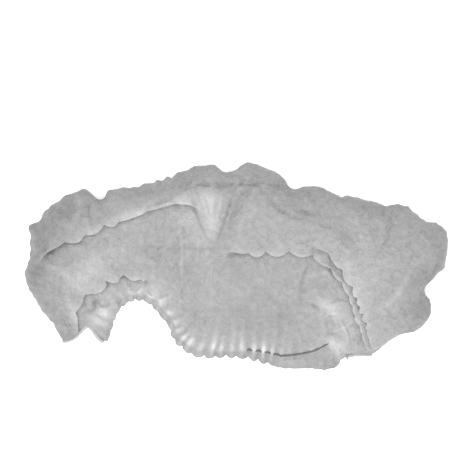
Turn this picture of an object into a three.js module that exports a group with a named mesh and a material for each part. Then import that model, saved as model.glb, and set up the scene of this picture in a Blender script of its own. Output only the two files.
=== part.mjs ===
// A disposable strip-style hair cover, opened out and laid down.
//
// The cap is one sheet of thin nonwoven cloth. It leaves the factory pleated into a narrow strip,
// with an elastic thread along both long edges and both ends welded shut. Pulled open, it becomes a
// soft pouch: the front layer climbs from the front hem over two pleats, turns over the rim, and
// comes back underneath to the back hem. The head goes in between the two hems.
//
// Frame: millimetres, X along the cap, +Y from the hem to the rim, +Z up. The cap lies on Z = 0.

import * as THREE from "three";

// ---- driving dimensions ------------------------------------------------------------------------

const WALL = 1.0; // thickness of the lofty cloth
const LONGEST_STEP = 17; // between two stations, along the rim
const FOLD_RADIUS = 1.0; // middle-line radius of a pleat's turn
const FOLD_STEPS = 3; // straight pieces in one turn of a pleat
const LEAST_ANGLE = 10; // a pleat that is pulled out still bends by this many degrees
const LEAST_TUCK = 1; // and still hides this much cloth
const PANEL_STEPS = 4; // straight pieces along the cloth between two turns
const RIM_WIDTH = 14; // how far in from the rim the cloth starts to roll over
const PLEAT_TO_RIM = 1; // least distance from the upper pleat to that place
const RIM_STEPS = 5; // straight pieces round the rolled rim
const FRONT_RISE = 0.45; // share of the climb to the crown that the front panel takes
const MIDDLE_RISE = 0.3; // share that the panel between the two pleats takes
const BACK_INSET = 2; // the back hem lies this far behind the front one
const BACK_LIFT = 0.5; // the back hem stands off the floor by this much
const BACK_LIFT_LENGTH = 9; // and comes down to the floor over this length
const ELASTIC_DIAMETER = 1.3;
const HEM_GAP = 0.8; // between the cloth's edge and the elastic
const HEM_EDGE = HEM_GAP + ELASTIC_DIAMETER / 2; // from the elastic's middle
const ELASTIC_HALF_SIDES = 4;
const ELASTIC_STEPS = 44;
const RUFFLE_PITCH = 7.6; // one gather of the hem to the next
const RUFFLE_WAVE = 0.9; // how far a gather rises and falls at the free edge
const RUFFLE_SCALLOP = 0.7; // how far a gather pushes the free edge out
const STEPS_PER_GATHER = 4;
const BACK_RUFFLE = 0.55; // the back hem's frill, as a share of the front one's
const SEAL_THICKNESS = 1.4; // the welded stack that closes each end
const SEAL_GAP = 1; // between the last section and the weld
const SEAL_STEPS = 24;
const TANGENT_STEP = 0.1; // half the length over which a direction is measured
const NOTCH_DEPTH = 8; // the left end is creased inwards, so that it shows two tips
const NOTCH_AT = 0.42;
const NOTCH_HALF_WIDTH = 0.27;
const NOTCH_FADES_OVER = 3; // sections

// One row for each section of the cap, from the left end seal to the right one. A section stands on
// the line from the hem to the rim. lip: where a pleat's folded edge hangs, as a share of the way to
// the rim. angle: 180 for a pleat that is folded flat, 0 for one that is pulled out smooth.
// tuck: length of cloth hidden behind the lip. loft: height of the crown. puff: how far the top
// panel swells, or sinks if it is negative. ruffle: width of the frill outside the elastic.
const COLUMNS = [
  "hemX", "hemY", "hemZ", "rimX", "rimY", "loft",
  "lowerLip", "lowerAngle", "lowerTuck", "upperLip", "upperAngle", "upperTuck", "puff", "ruffle",
];
const ROWS = [
  [-89.5, -49.0, 2.5, -115.5, -49.5, 7, 0.64, 180, 3, 0.8, 10, 1, 0, 2],
  [-88.0, -41.5, 3.0, -120.0, -41.5, 9, 0.62, 180, 4, 0.8, 10, 1, 0.5, 2.5],
  [-86.5, -34.0, 3.5, -126.0, -33.5, 12, 0.56, 180, 5, 0.8, 10, 1, 1, 3],
  [-83.5, -29.5, 4.5, -130.5, -26.0, 14.5, 0.52, 180, 6, 0.8, 10, 1, 1.5, 3],
  [-80.0, -25.5, 5.5, -134.5, -18.5, 17, 0.44, 180, 7, 0.8, 10, 1, 2, 3],
  [-76.5, -22.0, 6.5, -139.5, -10.5, 19, 0.37, 180, 8, 0.8, 10, 1, 2, 3],
  [-73.5, -20.0, 7.5, -140.5, -1.5, 21, 0.29, 180, 9, 0.82, 60, 1, 2, 3],
  [-70.5, -19.5, 8.0, -136.5, 12.5, 22, 0.26, 180, 9, 0.83, 180, 4, 1, 3],
  [-68.0, -18.5, 8.5, -135.0, 27.0, 23, 0.22, 180, 9, 0.68, 180, 7, 1, 3],
  [-64.5, -19.5, 9.0, -126.0, 35.0, 24, 0.21, 180, 8, 0.62, 180, 8, 1.5, 3],
  [-61.5, -20.0, 9.5, -116.0, 45.5, 25, 0.22, 180, 6, 0.62, 180, 9, 2, 3],
  [-57.5, -22.5, 10, -103.5, 52.5, 25, 0.22, 180, 3, 0.645, 180, 9, 2, 3],
  [-53.5, -26.5, 10, -90.5, 44.0, 25, 0.25, 60, 1, 0.74, 180, 8, 2, 3],
  [-49.5, -31.5, 10.5, -83.5, 50.0, 25, 0.28, 15, 1, 0.73, 180, 8, 2, 3],
  [-46.0, -37.5, 11, -64.5, 52.0, 26, 0.32, 10, 1, 0.8, 180, 7, 1, 3],
  [-42.0, -43.5, 11, -47.5, 55.5, 26, 0.38, 10, 1, 0.84, 180, 5, 0, 3],
  [-35.5, -50.0, 11.5, -32.5, 63.5, 26, 0.45, 10, 1, 0.79, 180, 3, -2, 3],
  [-26.5, -53.5, 12, -20.5, 67.5, 26, 0.52, 10, 1, 0.72, 60, 1, -4, 3],
  [-16.5, -55.5, 12, -7.5, 61.5, 26, 0.55, 60, 1, 0.7, 30, 1, -4, 3],
  [-5.5, -56.0, 12, 6.5, 68.0, 27, 0.545, 180, 3, 0.78, 20, 1, 0, 3],
  [6.5, -56.5, 12, 18.0, 65.5, 27, 0.53, 180, 8, 0.84, 60, 1, 2, 3.5],
  [18.0, -58.0, 12, 31.5, 54.5, 28, 0.585, 180, 9, 0.8, 180, 4, 2, 5],
  [30.0, -60.0, 12, 50.0, 51.5, 28, 0.6, 180, 10, 0.79, 180, 5, 2, 5.5],
  [40.5, -59.5, 12, 68.5, 46.0, 28, 0.565, 180, 9, 0.67, 180, 6, 2, 6.5],
  [50.0, -57.5, 11.5, 88.5, 43.5, 28, 0.46, 180, 9, 0.54, 180, 7, 3, 8],
  [56.5, -54.5, 11, 108.5, 40.0, 27, 0.33, 180, 9, 0.42, 180, 7, 4, 10],
  [59.0, -53.0, 10.5, 122.5, 34.5, 26.5, 0.27, 180, 8, 0.355, 180, 7, 4, 10.5],
  [61.5, -52.0, 10, 135.0, 28.0, 26, 0.22, 180, 8, 0.3, 180, 7, 4, 11],
  [64.5, -53.5, 9, 140.0, 14.5, 24, 0.2, 180, 7, 0.28, 180, 6, 4, 9],
  [67.5, -54.5, 8, 134.0, -3.5, 22, 0.21, 180, 6, 0.31, 180, 5, 3, 7],
  [68.5, -56.0, 7, 124.5, -16.0, 20, 0.24, 180, 5, 0.37, 180, 4, 2, 4],
  [70.0, -57.5, 6, 128.0, -30.5, 18, 0.26, 180, 4, 0.41, 180, 3, 2, 2],
  [71.5, -58.0, 5, 119.5, -43.5, 15, 0.3, 180, 3, 0.5, 180, 2, 1, 2],
  [72.5, -58.5, 3.5, 101.5, -50.0, 11, 0.34, 180, 1.5, 0.62, 120, 1, 0.5, 2],
  [74.0, -59.5, 2.5, 88.5, -56.5, 7, 0.4, 60, 1, 0.7, 20, 1, 0, 2],
];

// ---- plan: from a section and a distance along it to a place over the floor --------------------

const lerp = THREE.MathUtils.lerp;
const smooth = (t) => THREE.MathUtils.smoothstep(t, 0, 1);
const LAST = ROWS.length - 1;

// The table as a smooth function: place 0 is the first row, 1 the second, 0.5 halfway between them.
const table = new THREE.CubicInterpolant(ROWS.map((_, k) => k), ROWS.flat(), COLUMNS.length);
function columnsAt(place) {
  const values = Array.from(table.evaluate(place));
  return Object.fromEntries(COLUMNS.map((name, k) => [name, values[k]]));
}

// A section with its place and reach, and with how obliquely it meets the hem: a gap that is to be
// G wide between the cloth and the elastic is G * slant long along the section.
function sectionAt(place) {
  const s = columnsAt(place);
  const before = columnsAt(Math.max(place - 0.5, 0));
  const after = columnsAt(Math.min(place + 0.5, LAST));
  const hem = new THREE.Vector2(after.hemX - before.hemX, after.hemY - before.hemY).normalize();
  const out = new THREE.Vector2(s.rimX - s.hemX, s.rimY - s.hemY);
  s.place = place;
  s.reach = out.length();
  s.slant = s.reach / Math.abs(hem.cross(out));
  s.lowerAngle = THREE.MathUtils.clamp(s.lowerAngle, LEAST_ANGLE, 180);
  s.upperAngle = THREE.MathUtils.clamp(s.upperAngle, LEAST_ANGLE, 180);
  s.lowerTuck = Math.max(s.lowerTuck, LEAST_TUCK);
  s.upperTuck = Math.max(s.upperTuck, LEAST_TUCK);
  return s;
}

// A station at every row, and one halfway where two rims lie far apart.
const STATIONS = ROWS.flatMap((_, k) => {
  const here = columnsAt(k);
  const next = columnsAt(Math.min(k + 1, LAST));
  const step = Math.hypot(next.rimX - here.rimX, next.rimY - here.rimY);
  return step > LONGEST_STEP ? [sectionAt(k), sectionAt(k + 0.5)] : [sectionAt(k)];
});

// The point at distance d from the elastic. The crease in the left end pushes it inwards, along +Y.
function planPoint(s, d, z) {
  const along = d / s.reach;
  const crease = Math.exp(-(((along - NOTCH_AT) / NOTCH_HALF_WIDTH) ** 2));
  const fade = Math.max(0, 1 - s.place / NOTCH_FADES_OVER);
  const x = lerp(s.hemX, s.rimX, along);
  const y = lerp(s.hemY, s.rimY, along) + NOTCH_DEPTH * crease * fade;
  return new THREE.Vector3(x, y, z);
}

// ---- solids from rings -------------------------------------------------------------------------

// A closed body through rings of the same number of points, with a strip of faces across each end.
// Each ring runs out along one face of the wall and back along the other.
function skinnedBody(rings) {
  const count = rings[0].length;
  const positions = rings.flat().flatMap((p) => [p.x, p.y, p.z]);
  const index = [];
  for (let r = 0; r + 1 < rings.length; r++) {
    for (let k = 0; k < count; k++) {
      const next = (k + 1) % count;
      const a = r * count + k;
      const b = r * count + next;
      index.push(a, a + count, b, b, a + count, b + count);
    }
  }
  const last = (rings.length - 1) * count;
  for (let k = 0; k + 1 < count / 2; k++) {
    const far = count - 1 - k;
    index.push(k, k + 1, far, k + 1, far - 1, far);
    index.push(last + k, last + far, last + k + 1, last + k + 1, last + far, last + far - 1);
  }
  const geometry = new THREE.BufferGeometry();
  geometry.setAttribute("position", new THREE.Float32BufferAttribute(positions, 3));
  geometry.setIndex(index);
  geometry.computeVertexNormals();
  return geometry;
}

// Both faces of a wall whose middle line is a list of [distance, height] pairs.
function wallAround(line, thickness) {
  const normals = line.map((_, k) => {
    const [d0, z0] = line[Math.max(k - 1, 0)];
    const [d1, z1] = line[Math.min(k + 1, line.length - 1)];
    const length = Math.hypot(d1 - d0, z1 - z0);
    return [-(z1 - z0) / length, (d1 - d0) / length];
  });
  const face = (side) =>
    line.map(([d, z], k) => [
      d + (side * normals[k][0] * thickness) / 2,
      z + (side * normals[k][1] * thickness) / 2,
    ]);
  return [...face(1), ...face(-1).reverse()];
}

// ---- the crown's section -----------------------------------------------------------------------

// Turns a pleat: the cloth bends back by `angle`, runs `tuck` behind the lip, and bends forward again.
function foldLine(start, angle, tuck) {
  const turn = THREE.MathUtils.degToRad(angle);
  const line = [];
  let [d, z] = start;
  for (let k = 0; k <= FOLD_STEPS; k++) {
    const a = (turn * k) / FOLD_STEPS;
    line.push([d + FOLD_RADIUS * Math.sin(a), z + FOLD_RADIUS * (1 - Math.cos(a))]);
  }
  [d, z] = line.at(-1);
  d += tuck * Math.cos(turn);
  z += tuck * Math.sin(turn);
  for (let k = 0; k <= FOLD_STEPS; k++) {
    const a = turn * (1 - k / FOLD_STEPS);
    line.push([
      d + FOLD_RADIUS * (Math.sin(turn) - Math.sin(a)),
      z + FOLD_RADIUS * (Math.cos(a) - Math.cos(turn)),
    ]);
  }
  return line;
}

// How high a pleat steps up, and where it must start so that its lip hangs at `lip`.
function foldStep(angle, tuck) {
  const turn = THREE.MathUtils.degToRad(angle);
  return 2 * FOLD_RADIUS * (1 - Math.cos(turn)) + tuck * Math.sin(turn);
}
function foldStart(lip, angle, tuck) {
  const folded = (1 - Math.cos(THREE.MathUtils.degToRad(angle))) / 2;
  return lip + (tuck + FOLD_RADIUS) * folded;
}

// Points strictly between two places, easing from one height to the other and swelling by `puff`.
function panelLine([d0, z0], [d1, z1], puff = 0) {
  const line = [];
  for (let k = 1; k < PANEL_STEPS; k++) {
    const t = k / PANEL_STEPS;
    line.push([lerp(d0, d1, t), lerp(z0, z1, smooth(t)) + puff * Math.sin(Math.PI * t) ** 2]);
  }
  return line;
}

// The whole middle line: front hem, lower pleat, upper pleat, rolled rim, floor, back hem.
function crownLine(s) {
  const lowerStep = foldStep(s.lowerAngle, s.lowerTuck);
  const upperStep = foldStep(s.upperAngle, s.upperTuck);
  const climb = s.loft - s.hemZ - lowerStep - upperStep;

  const hem = [HEM_EDGE * s.slant, s.hemZ];
  const lowerStart = [
    foldStart(s.lowerLip * s.reach, s.lowerAngle, s.lowerTuck),
    s.hemZ + climb * FRONT_RISE,
  ];
  const lowerFold = foldLine(lowerStart, s.lowerAngle, s.lowerTuck);
  const upperStart = [
    foldStart(s.upperLip * s.reach, s.upperAngle, s.upperTuck),
    lowerStart[1] + lowerStep + climb * MIDDLE_RISE,
  ];
  const upperFold = foldLine(upperStart, s.upperAngle, s.upperTuck);

  const rimStart = Math.max(s.reach - RIM_WIDTH, upperFold.at(-1)[0] + PLEAT_TO_RIM);
  const rollWidth = s.reach - rimStart;
  const floorZ = WALL / 2;
  const rollHeight = (s.loft - floorZ) / 2;
  const rim = [];
  for (let k = 0; k <= RIM_STEPS; k++) {
    const a = Math.PI * (0.5 - k / RIM_STEPS);
    rim.push([rimStart + rollWidth * Math.cos(a), floorZ + rollHeight * (1 + Math.sin(a))]);
  }

  const backHem = [(BACK_INSET + HEM_EDGE) * s.slant, floorZ + BACK_LIFT];
  const backFlat = [backHem[0] + BACK_LIFT_LENGTH, floorZ];
  return [
    hem,
    ...panelLine(hem, lowerStart),
    ...lowerFold,
    ...panelLine(lowerFold.at(-1), upperStart),
    ...upperFold,
    ...panelLine(upperFold.at(-1), rim[0], s.puff),
    ...rim,
    ...panelLine(rim.at(-1), backFlat),
    backFlat,
    [(backFlat[0] + backHem[0]) / 2, (backFlat[1] + backHem[1]) / 2],
    backHem,
  ];
}

function crownGeometry() {
  const rings = STATIONS.map((s) =>
    wallAround(crownLine(s), WALL).map(([d, z]) => planPoint(s, d, z)),
  );
  return skinnedBody(rings);
}

// ---- hems --------------------------------------------------------------------------------------

// Height of each hem's middle line at a section.
const frontHemZ = (s) => s.hemZ;
const backHemZ = () => WALL / 2 + BACK_LIFT;

// Places along the hem that lie about `spacing` apart.
function hemPlaces(spacing) {
  const places = [];
  for (let row = 0; row < LAST; row++) {
    const here = columnsAt(row);
    const next = columnsAt(row + 1);
    const length = Math.hypot(next.hemX - here.hemX, next.hemY - here.hemY);
    const steps = Math.max(1, Math.round(length / spacing));
    for (let j = 0; j < steps; j++) places.push(row + j / steps);
  }
  return [...places, LAST];
}

// The gathered frill outside an elastic: flat where it meets the crown, waved at its free edge.
function ruffleGeometry(start, width, heightAt) {
  const places = hemPlaces(RUFFLE_PITCH / STEPS_PER_GATHER);
  const rings = places.map((place, k) => {
    const s = sectionAt(place);
    const wave = Math.sin((2 * Math.PI * k) / STEPS_PER_GATHER);
    const inner = (start - HEM_EDGE) * s.slant;
    const outer = inner - s.ruffle * width - RUFFLE_SCALLOP * wave;
    const z = heightAt(s);
    const rise = RUFFLE_WAVE * (z > RUFFLE_WAVE + WALL ? wave : Math.max(0, wave));
    const line = [[outer, z + rise], [inner, z]];
    return wallAround(line, WALL).map(([d, h]) => planPoint(s, d, h));
  });
  return skinnedBody(rings);
}

// An elastic thread between the crown's edge and its frill.
function elasticGeometry(start, heightAt) {
  const points = STATIONS.map((s) => planPoint(s, start * s.slant, heightAt(s)));
  const route = new THREE.CatmullRomCurve3(points, false, "centripetal");
  const thread = new THREE.Shape();
  thread.absarc(0, 0, ELASTIC_DIAMETER / 2, 0, 2 * Math.PI);
  return new THREE.ExtrudeGeometry(thread, {
    steps: ELASTIC_STEPS,
    extrudePath: route,
    curveSegments: ELASTIC_HALF_SIDES,
  });
}

// ---- end seals ---------------------------------------------------------------------------------

// The welded stack that closes an end: a low wall just outside the last section.
function sealGeometry(place, outward) {
  const s = sectionAt(place);
  const outside = SEAL_GAP + SEAL_THICKNESS;
  const rings = [];
  for (let k = 0; k <= SEAL_STEPS; k++) {
    const d = (s.reach * k) / SEAL_STEPS;
    const near = planPoint(s, d, 0);
    const tangent = planPoint(s, d + TANGENT_STEP, 0)
      .sub(planPoint(s, d - TANGENT_STEP, 0))
      .normalize();
    const normal = new THREE.Vector3(tangent.y, -tangent.x, 0).multiplyScalar(outward);
    const corner = (offset, z) => near.clone().addScaledVector(normal, offset).setZ(z);
    const ring = [
      corner(outside, 0), corner(SEAL_GAP, 0), corner(SEAL_GAP, s.loft), corner(outside, s.loft),
    ];
    rings.push(outward > 0 ? ring.reverse() : ring);
  }
  return skinnedBody(rings);
}

// ---- assembly ----------------------------------------------------------------------------------

const nonwoven = new THREE.MeshStandardMaterial({ color: 0xb4b4b4, roughness: 0.92, metalness: 0 });
const hemCloth = new THREE.MeshStandardMaterial({ color: 0xc2c2c2, roughness: 0.92, metalness: 0 });
const weldedCloth = new THREE.MeshStandardMaterial({ color: 0xd0d0d0, roughness: 0.7, metalness: 0 });
const darkElastic = new THREE.MeshStandardMaterial({ color: 0x4a4a4a, roughness: 0.8, metalness: 0 });

const cap = new THREE.Group();
function add(name, geometry, material) {
  const mesh = new THREE.Mesh(geometry, material);
  mesh.name = name;
  cap.add(mesh);
}

add("crown", crownGeometry(), nonwoven);
add("front_ruffle", ruffleGeometry(0, 1, frontHemZ), hemCloth);
add("back_ruffle", ruffleGeometry(BACK_INSET, BACK_RUFFLE, backHemZ), hemCloth);
add("front_elastic", elasticGeometry(0, frontHemZ), darkElastic);
add("back_elastic", elasticGeometry(BACK_INSET, backHemZ), darkElastic);
add("left_end_seal", sealGeometry(0, -1), weldedCloth);
add("right_end_seal", sealGeometry(LAST, 1), weldedCloth);

export default cap;
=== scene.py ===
# %% [markdown]
# # A disposable hair cover, opened out and laid down
#
# The cap is one rectangle of thin spunbond cloth. It is pleated lengthwise into a strip, a covered
# elastic is sewn along both long edges, and both ends are welded. Pulled open, it becomes a soft
# pouch that lies on the table with its elastic mouth towards the viewer. The first cell loads the
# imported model, so that every piece made here has the same frame and size.

# %% Load the frame
import math
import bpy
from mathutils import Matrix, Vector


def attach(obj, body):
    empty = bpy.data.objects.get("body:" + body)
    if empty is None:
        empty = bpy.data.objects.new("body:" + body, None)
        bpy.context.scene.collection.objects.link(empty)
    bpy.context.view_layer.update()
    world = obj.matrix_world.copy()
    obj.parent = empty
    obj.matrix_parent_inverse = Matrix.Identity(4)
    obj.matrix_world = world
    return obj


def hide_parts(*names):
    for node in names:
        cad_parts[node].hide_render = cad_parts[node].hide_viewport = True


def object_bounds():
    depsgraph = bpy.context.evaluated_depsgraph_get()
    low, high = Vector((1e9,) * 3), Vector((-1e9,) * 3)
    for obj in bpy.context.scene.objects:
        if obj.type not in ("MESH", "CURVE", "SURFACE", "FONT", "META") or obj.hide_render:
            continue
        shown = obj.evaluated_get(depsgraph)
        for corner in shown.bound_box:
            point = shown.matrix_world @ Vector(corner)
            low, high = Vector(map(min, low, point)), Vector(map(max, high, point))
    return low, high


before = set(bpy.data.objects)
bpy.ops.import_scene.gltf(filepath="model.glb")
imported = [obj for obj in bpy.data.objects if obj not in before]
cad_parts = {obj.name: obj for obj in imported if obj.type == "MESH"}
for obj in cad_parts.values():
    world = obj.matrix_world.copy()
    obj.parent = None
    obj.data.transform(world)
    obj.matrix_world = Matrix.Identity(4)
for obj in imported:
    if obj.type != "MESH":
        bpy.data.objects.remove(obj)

from types import SimpleNamespace

import bpy
import numpy as np

MM = 0.001


def tenths(value):
    return round(float(value), 1)


def in_mm(box):
    return [[tenths(v / MM) for v in corner] for corner in box]


def placed_object(name, data):
    made = bpy.data.objects.new(name, data)
    bpy.context.collection.objects.link(made)
    return made


cad_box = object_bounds()
print("CAD box in millimetres", in_mm(cad_box))

# %% [markdown]
# ## The camera, the floor and the light
#
# The cap is seen from straight above, so the camera hangs over it with a long lens, which keeps
# the raised crown from leaning outwards. A pale floor and one big soft lamp from above, a little
# to the mouth's side, give the flat, almost shadowless light of a packshot.

# %% Camera and floor
VIEW_WIDTH = 316 * MM  # what the camera spans at the floor
CAMERA_HEIGHT = 1.6
SENSOR = 36.0
FARTHEST = 20
VIEW_SHIFT_Y = 19.2 * MM  # the cap sits in the lower part of the view
FLOOR_HALF = 3.0

middle_x = (cad_box[0][0] + cad_box[1][0]) / 2
middle_y = (cad_box[0][1] + cad_box[1][1]) / 2
camera_data = bpy.data.cameras.new("camera")
camera_data.sensor_width = SENSOR
camera_data.lens = SENSOR * CAMERA_HEIGHT / VIEW_WIDTH
camera_data.clip_end = FARTHEST
camera = placed_object("camera", camera_data)
camera.location = (middle_x, middle_y + VIEW_SHIFT_Y, CAMERA_HEIGHT)
bpy.context.scene.camera = camera

floor_mesh = bpy.data.meshes.new("floor")
floor_mesh.from_pydata(
    [(x * FLOOR_HALF, y * FLOOR_HALF, 0) for x, y in ((-1, -1), (1, -1), (1, 1), (-1, 1))],
    [],
    [(0, 1, 2, 3)],
)
floor = placed_object("floor", floor_mesh)
print("the camera sees", round(VIEW_WIDTH / MM), "mm across")

# %% Light
LAMP_PLACE = (-0.3, -0.8, 1.7)
LAMP_SIZE = 0.4
LAMP_POWER = 27
SKY_STRENGTH = 1.43

lamp_data = bpy.data.lights.new("front_lamp", "AREA")
lamp_data.shape = "DISK"
lamp_data.size = LAMP_SIZE
lamp_data.energy = LAMP_POWER
lamp = placed_object("front_lamp", lamp_data)
lamp.location = LAMP_PLACE
aim_x, aim_y, aim_z = (-v for v in LAMP_PLACE)
tilt = math.atan2(math.hypot(aim_x, aim_y), -aim_z)
lamp.rotation_euler = (tilt, 0, math.atan2(aim_x, -aim_y) + math.pi)

world = bpy.data.worlds.new("studio")
world.use_nodes = True
sky = world.node_tree.nodes["Background"]
sky.inputs["Color"].default_value = (1, 1, 1, 1)
sky.inputs["Strength"].default_value = SKY_STRENGTH
bpy.context.scene.world = world
bpy.context.scene.view_settings.view_transform = "Standard"
print("lamp", LAMP_POWER, "W, sky", SKY_STRENGTH)

# %% [markdown]
# ## How the cloth lies
#
# Each row below is one section through the lying cap, from the left end weld to the right one. A
# section stands on the line from the elastic of the front hem out to the rim, and the pleats, the
# height and the frill change from row to row. The CAD walls follow a plainer form of the same
# table, so the fine cloth made here fills their place. The last four columns are for the look
# only: how deep the scallops of the two hanging pleat edges are, how strongly the hem is gathered,
# and how far the rim is drawn in by a local fold.

# %% Section table
COLUMNS = (
    "hem_x hem_y hem_z rim_x rim_y loft lower_lip lower_angle lower_tuck upper_lip upper_angle "
    "upper_tuck puff frill lower_scallop upper_scallop gather bite"
).split()
ROWS = np.array([
    [-89.5, -49, 2.5, -115.5, -49.5, 7, 0.62, 180, 3, 0.7, 10, 1, 0, 2, 0, 0, 0.3, 0],
    [-88, -41.5, 3, -120, -41.5, 9, 0.56, 180, 4, 0.7, 10, 1, 0.5, 2.5, 0, 0, 0.6, 0],
    [-86.5, -34, 3.5, -126, -33.5, 12, 0.485, 180, 5, 0.7, 10, 1, 1, 3, 1.5, 0, 0.8, 0],
    [-83.5, -29.5, 4.5, -130.5, -26, 14.5, 0.443, 180, 7, 0.7, 10, 1, 1.5, 3, 4.5, 0, 0.4, 0],
    [-80, -25.5, 5.5, -134.5, -18.5, 17, 0.365, 180, 9, 0.7, 10, 1, 2, 3, 7.5, 0, 0.4, 0],
    [-76.5, -22, 6.5, -139.5, -10.5, 19, 0.265, 180, 10, 0.7, 10, 1, 2, 3, 8, 0, 0.4, 0],
    [-73.5, -20, 7.5, -140.5, -1.5, 21, 0.215, 180, 11, 0.88, 10, 1, 2, 3, 8, 0, 0.4, 0],
    [-70.5, -19.5, 8, -136.5, 12.5, 22, 0.185, 180, 11, 0.82, 120, 2, 1, 3, 8, 1, 0.4, 0],
    [-68, -18.5, 8.5, -135, 27, 23, 0.165, 180, 11, 0.7, 180, 6, 1, 3, 8, 3, 0.4, 0],
    [-64.5, -19.5, 9, -126, 35, 24, 0.185, 180, 10, 0.645, 180, 8, 1.5, 3, 8, 3.5, 0.4, 0],
    [-61.5, -20, 9.5, -116, 45.5, 25, 0.155, 180, 8, 0.615, 180, 9, 2, 3, 7, 3.5, 0.5, 0],
    [-57.5, -22.5, 10, -103.5, 52.5, 25, 0.165, 180, 6, 0.63, 180, 9, 2, 3, 5, 3, 0.6, 0],
    [-53.5, -26.5, 10, -94.5, 50, 25, 0.2, 160, 4, 0.695, 180, 8, 2, 3, 3, 2.5, 0.65, 7],
    [-49.5, -31.5, 10.5, -83.5, 50, 25, 0.25, 60, 1.5, 0.745, 180, 8, 2, 3, 1, 1.5, 0.7, 0],
    [-46, -37.5, 11, -64.5, 52, 26, 0.32, 10, 1, 0.8, 180, 7, 1, 3, 0, 1.5, 0.75, 0],
    [-42, -43.5, 11, -47.5, 55.5, 26, 0.38, 10, 1, 0.835, 180, 5, 0, 3, 0, 1, 0.85, 0],
    [-35.5, -50, 11.5, -32.5, 63.5, 26, 0.45, 10, 1, 0.785, 150, 3, -1, 3, 0, 0.5, 1, 0],
    [-26.5, -53.5, 12, -20.5, 67.5, 26, 0.51, 10, 1, 0.71, 40, 1, -2, 3, 0, 0, 1, 0],
    [-16.5, -55.5, 12, -7.5, 64.5, 26, 0.515, 30, 1, 0.7, 10, 1, -2, 3, 0, 0, 1, 3],
    [-5.5, -56, 12, 6.5, 68, 27, 0.51, 150, 3, 0.75, 10, 1, 0, 3, 1.5, 0, 1, 0],
    [6.5, -56.5, 12, 18, 65.5, 27, 0.51, 180, 8, 0.8, 10, 1, 2, 3.5, 3.5, 0, 1, 0],
    [18, -58, 12, 31.5, 54.5, 28, 0.57, 180, 9, 0.76, 30, 1, 2, 5, 4.5, 0.5, 1, 0],
    [30, -60, 12, 50, 51.5, 28, 0.59, 180, 10, 0.67, 50, 1.5, 2, 5.5, 4.5, 2, 0.9, 0],
    [40.5, -59.5, 12, 68.5, 46, 28, 0.565, 180, 9, 0.615, 120, 3.5, 2, 7.5, 3, 4, 0.6, 0],
    [50, -57.5, 11.5, 88.5, 43.5, 28, 0.453, 180, 9, 0.493, 180, 6, 3, 10, 2.5, 4.5, 0.4, 0],
    [56.5, -54.5, 11, 108.5, 40, 27, 0.33, 180, 9, 0.373, 180, 7, 4, 13.5, 2, 4, 0.3, 0],
    [59, -53, 10.5, 122.5, 34.5, 26.5, 0.265, 180, 8, 0.311, 180, 7, 4, 15, 2, 4, 0.3, 0],
    [61.5, -52, 10, 135, 28, 26, 0.213, 180, 8, 0.255, 180, 7, 4, 15.5, 2, 3.5, 0.3, 0],
    [64.5, -53.5, 9, 140, 14.5, 24, 0.2, 180, 7, 0.244, 180, 6, 4, 13, 1.5, 3.5, 0.3, 0],
    [67.5, -54.5, 8, 136.5, -2, 22, 0.2, 180, 6, 0.248, 180, 5, 3, 9, 1.5, 1.5, 0.3, 3],
    [68.5, -56, 7, 132, -11.5, 20, 0.213, 180, 5, 0.262, 180, 4, 2, 5, 1, 1, 0.3, 9],
    [70, -57.5, 6, 128, -30.5, 18, 0.235, 180, 4, 0.29, 180, 3, 2, 3, 0.5, 0.5, 0.3, 0],
    [71.5, -58, 5, 119.5, -43.5, 15, 0.27, 150, 3, 0.35, 150, 2, 1, 2, 0, 0, 0.3, 0],
    [72.5, -58.5, 3.5, 101.5, -50, 11, 0.36, 60, 1, 0.5, 40, 1, 0.5, 2, 0, 0, 0.3, 0],
    [74, -59.5, 2.5, 88.5, -56.5, 7, 0.4, 10, 1, 0.7, 10, 1, 0, 2, 0, 0, 0.3, 0],
])
LAST = len(ROWS) - 1


def columns_at(places):
    """Every column at each place along the cap, as arrays of one column for numpy to spread."""
    low = np.clip(np.floor(places).astype(int), 0, LAST - 1)
    t = (places - low)[:, None]
    before, start, end, after = (ROWS[np.clip(low + k, 0, LAST)] for k in (-1, 0, 1, 2))
    leaving, arriving = (end - before) / 2, (after - start) / 2
    values = (
        (2 * t**3 - 3 * t**2 + 1) * start
        + (t**3 - 2 * t**2 + t) * leaving
        + (3 * t**2 - 2 * t**3) * end
        + (t**3 - t**2) * arriving
    )
    return {name: values[:, [k]] for k, name in enumerate(COLUMNS)}


print(len(ROWS), "sections of", len(COLUMNS), "columns")

# %% [markdown]
# ## Stations along the cap
#
# The cloth is a grid: one direction runs along the cap, the other over it. The stations of the
# first direction are spread so that both the long rim and the short gathered hem get enough of
# them. Arc lengths along the hem and the rim are kept, because gathers and scallops are spaced by
# length and not by row.

# %% Stations
STATIONS = 296
TRIAL_PLACES = 4000
HEM_WEIGHT = 1.6  # the hem is short but finely gathered, so its length counts more
LEAST_ANGLE = 10  # a pleat that is pulled out still bends a little, and hides a little cloth
LEAST_TUCK = 1


def arc_lengths(x, y):
    steps = np.hypot(np.diff(x), np.diff(y))
    return np.concatenate([[0], np.cumsum(steps)])


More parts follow.
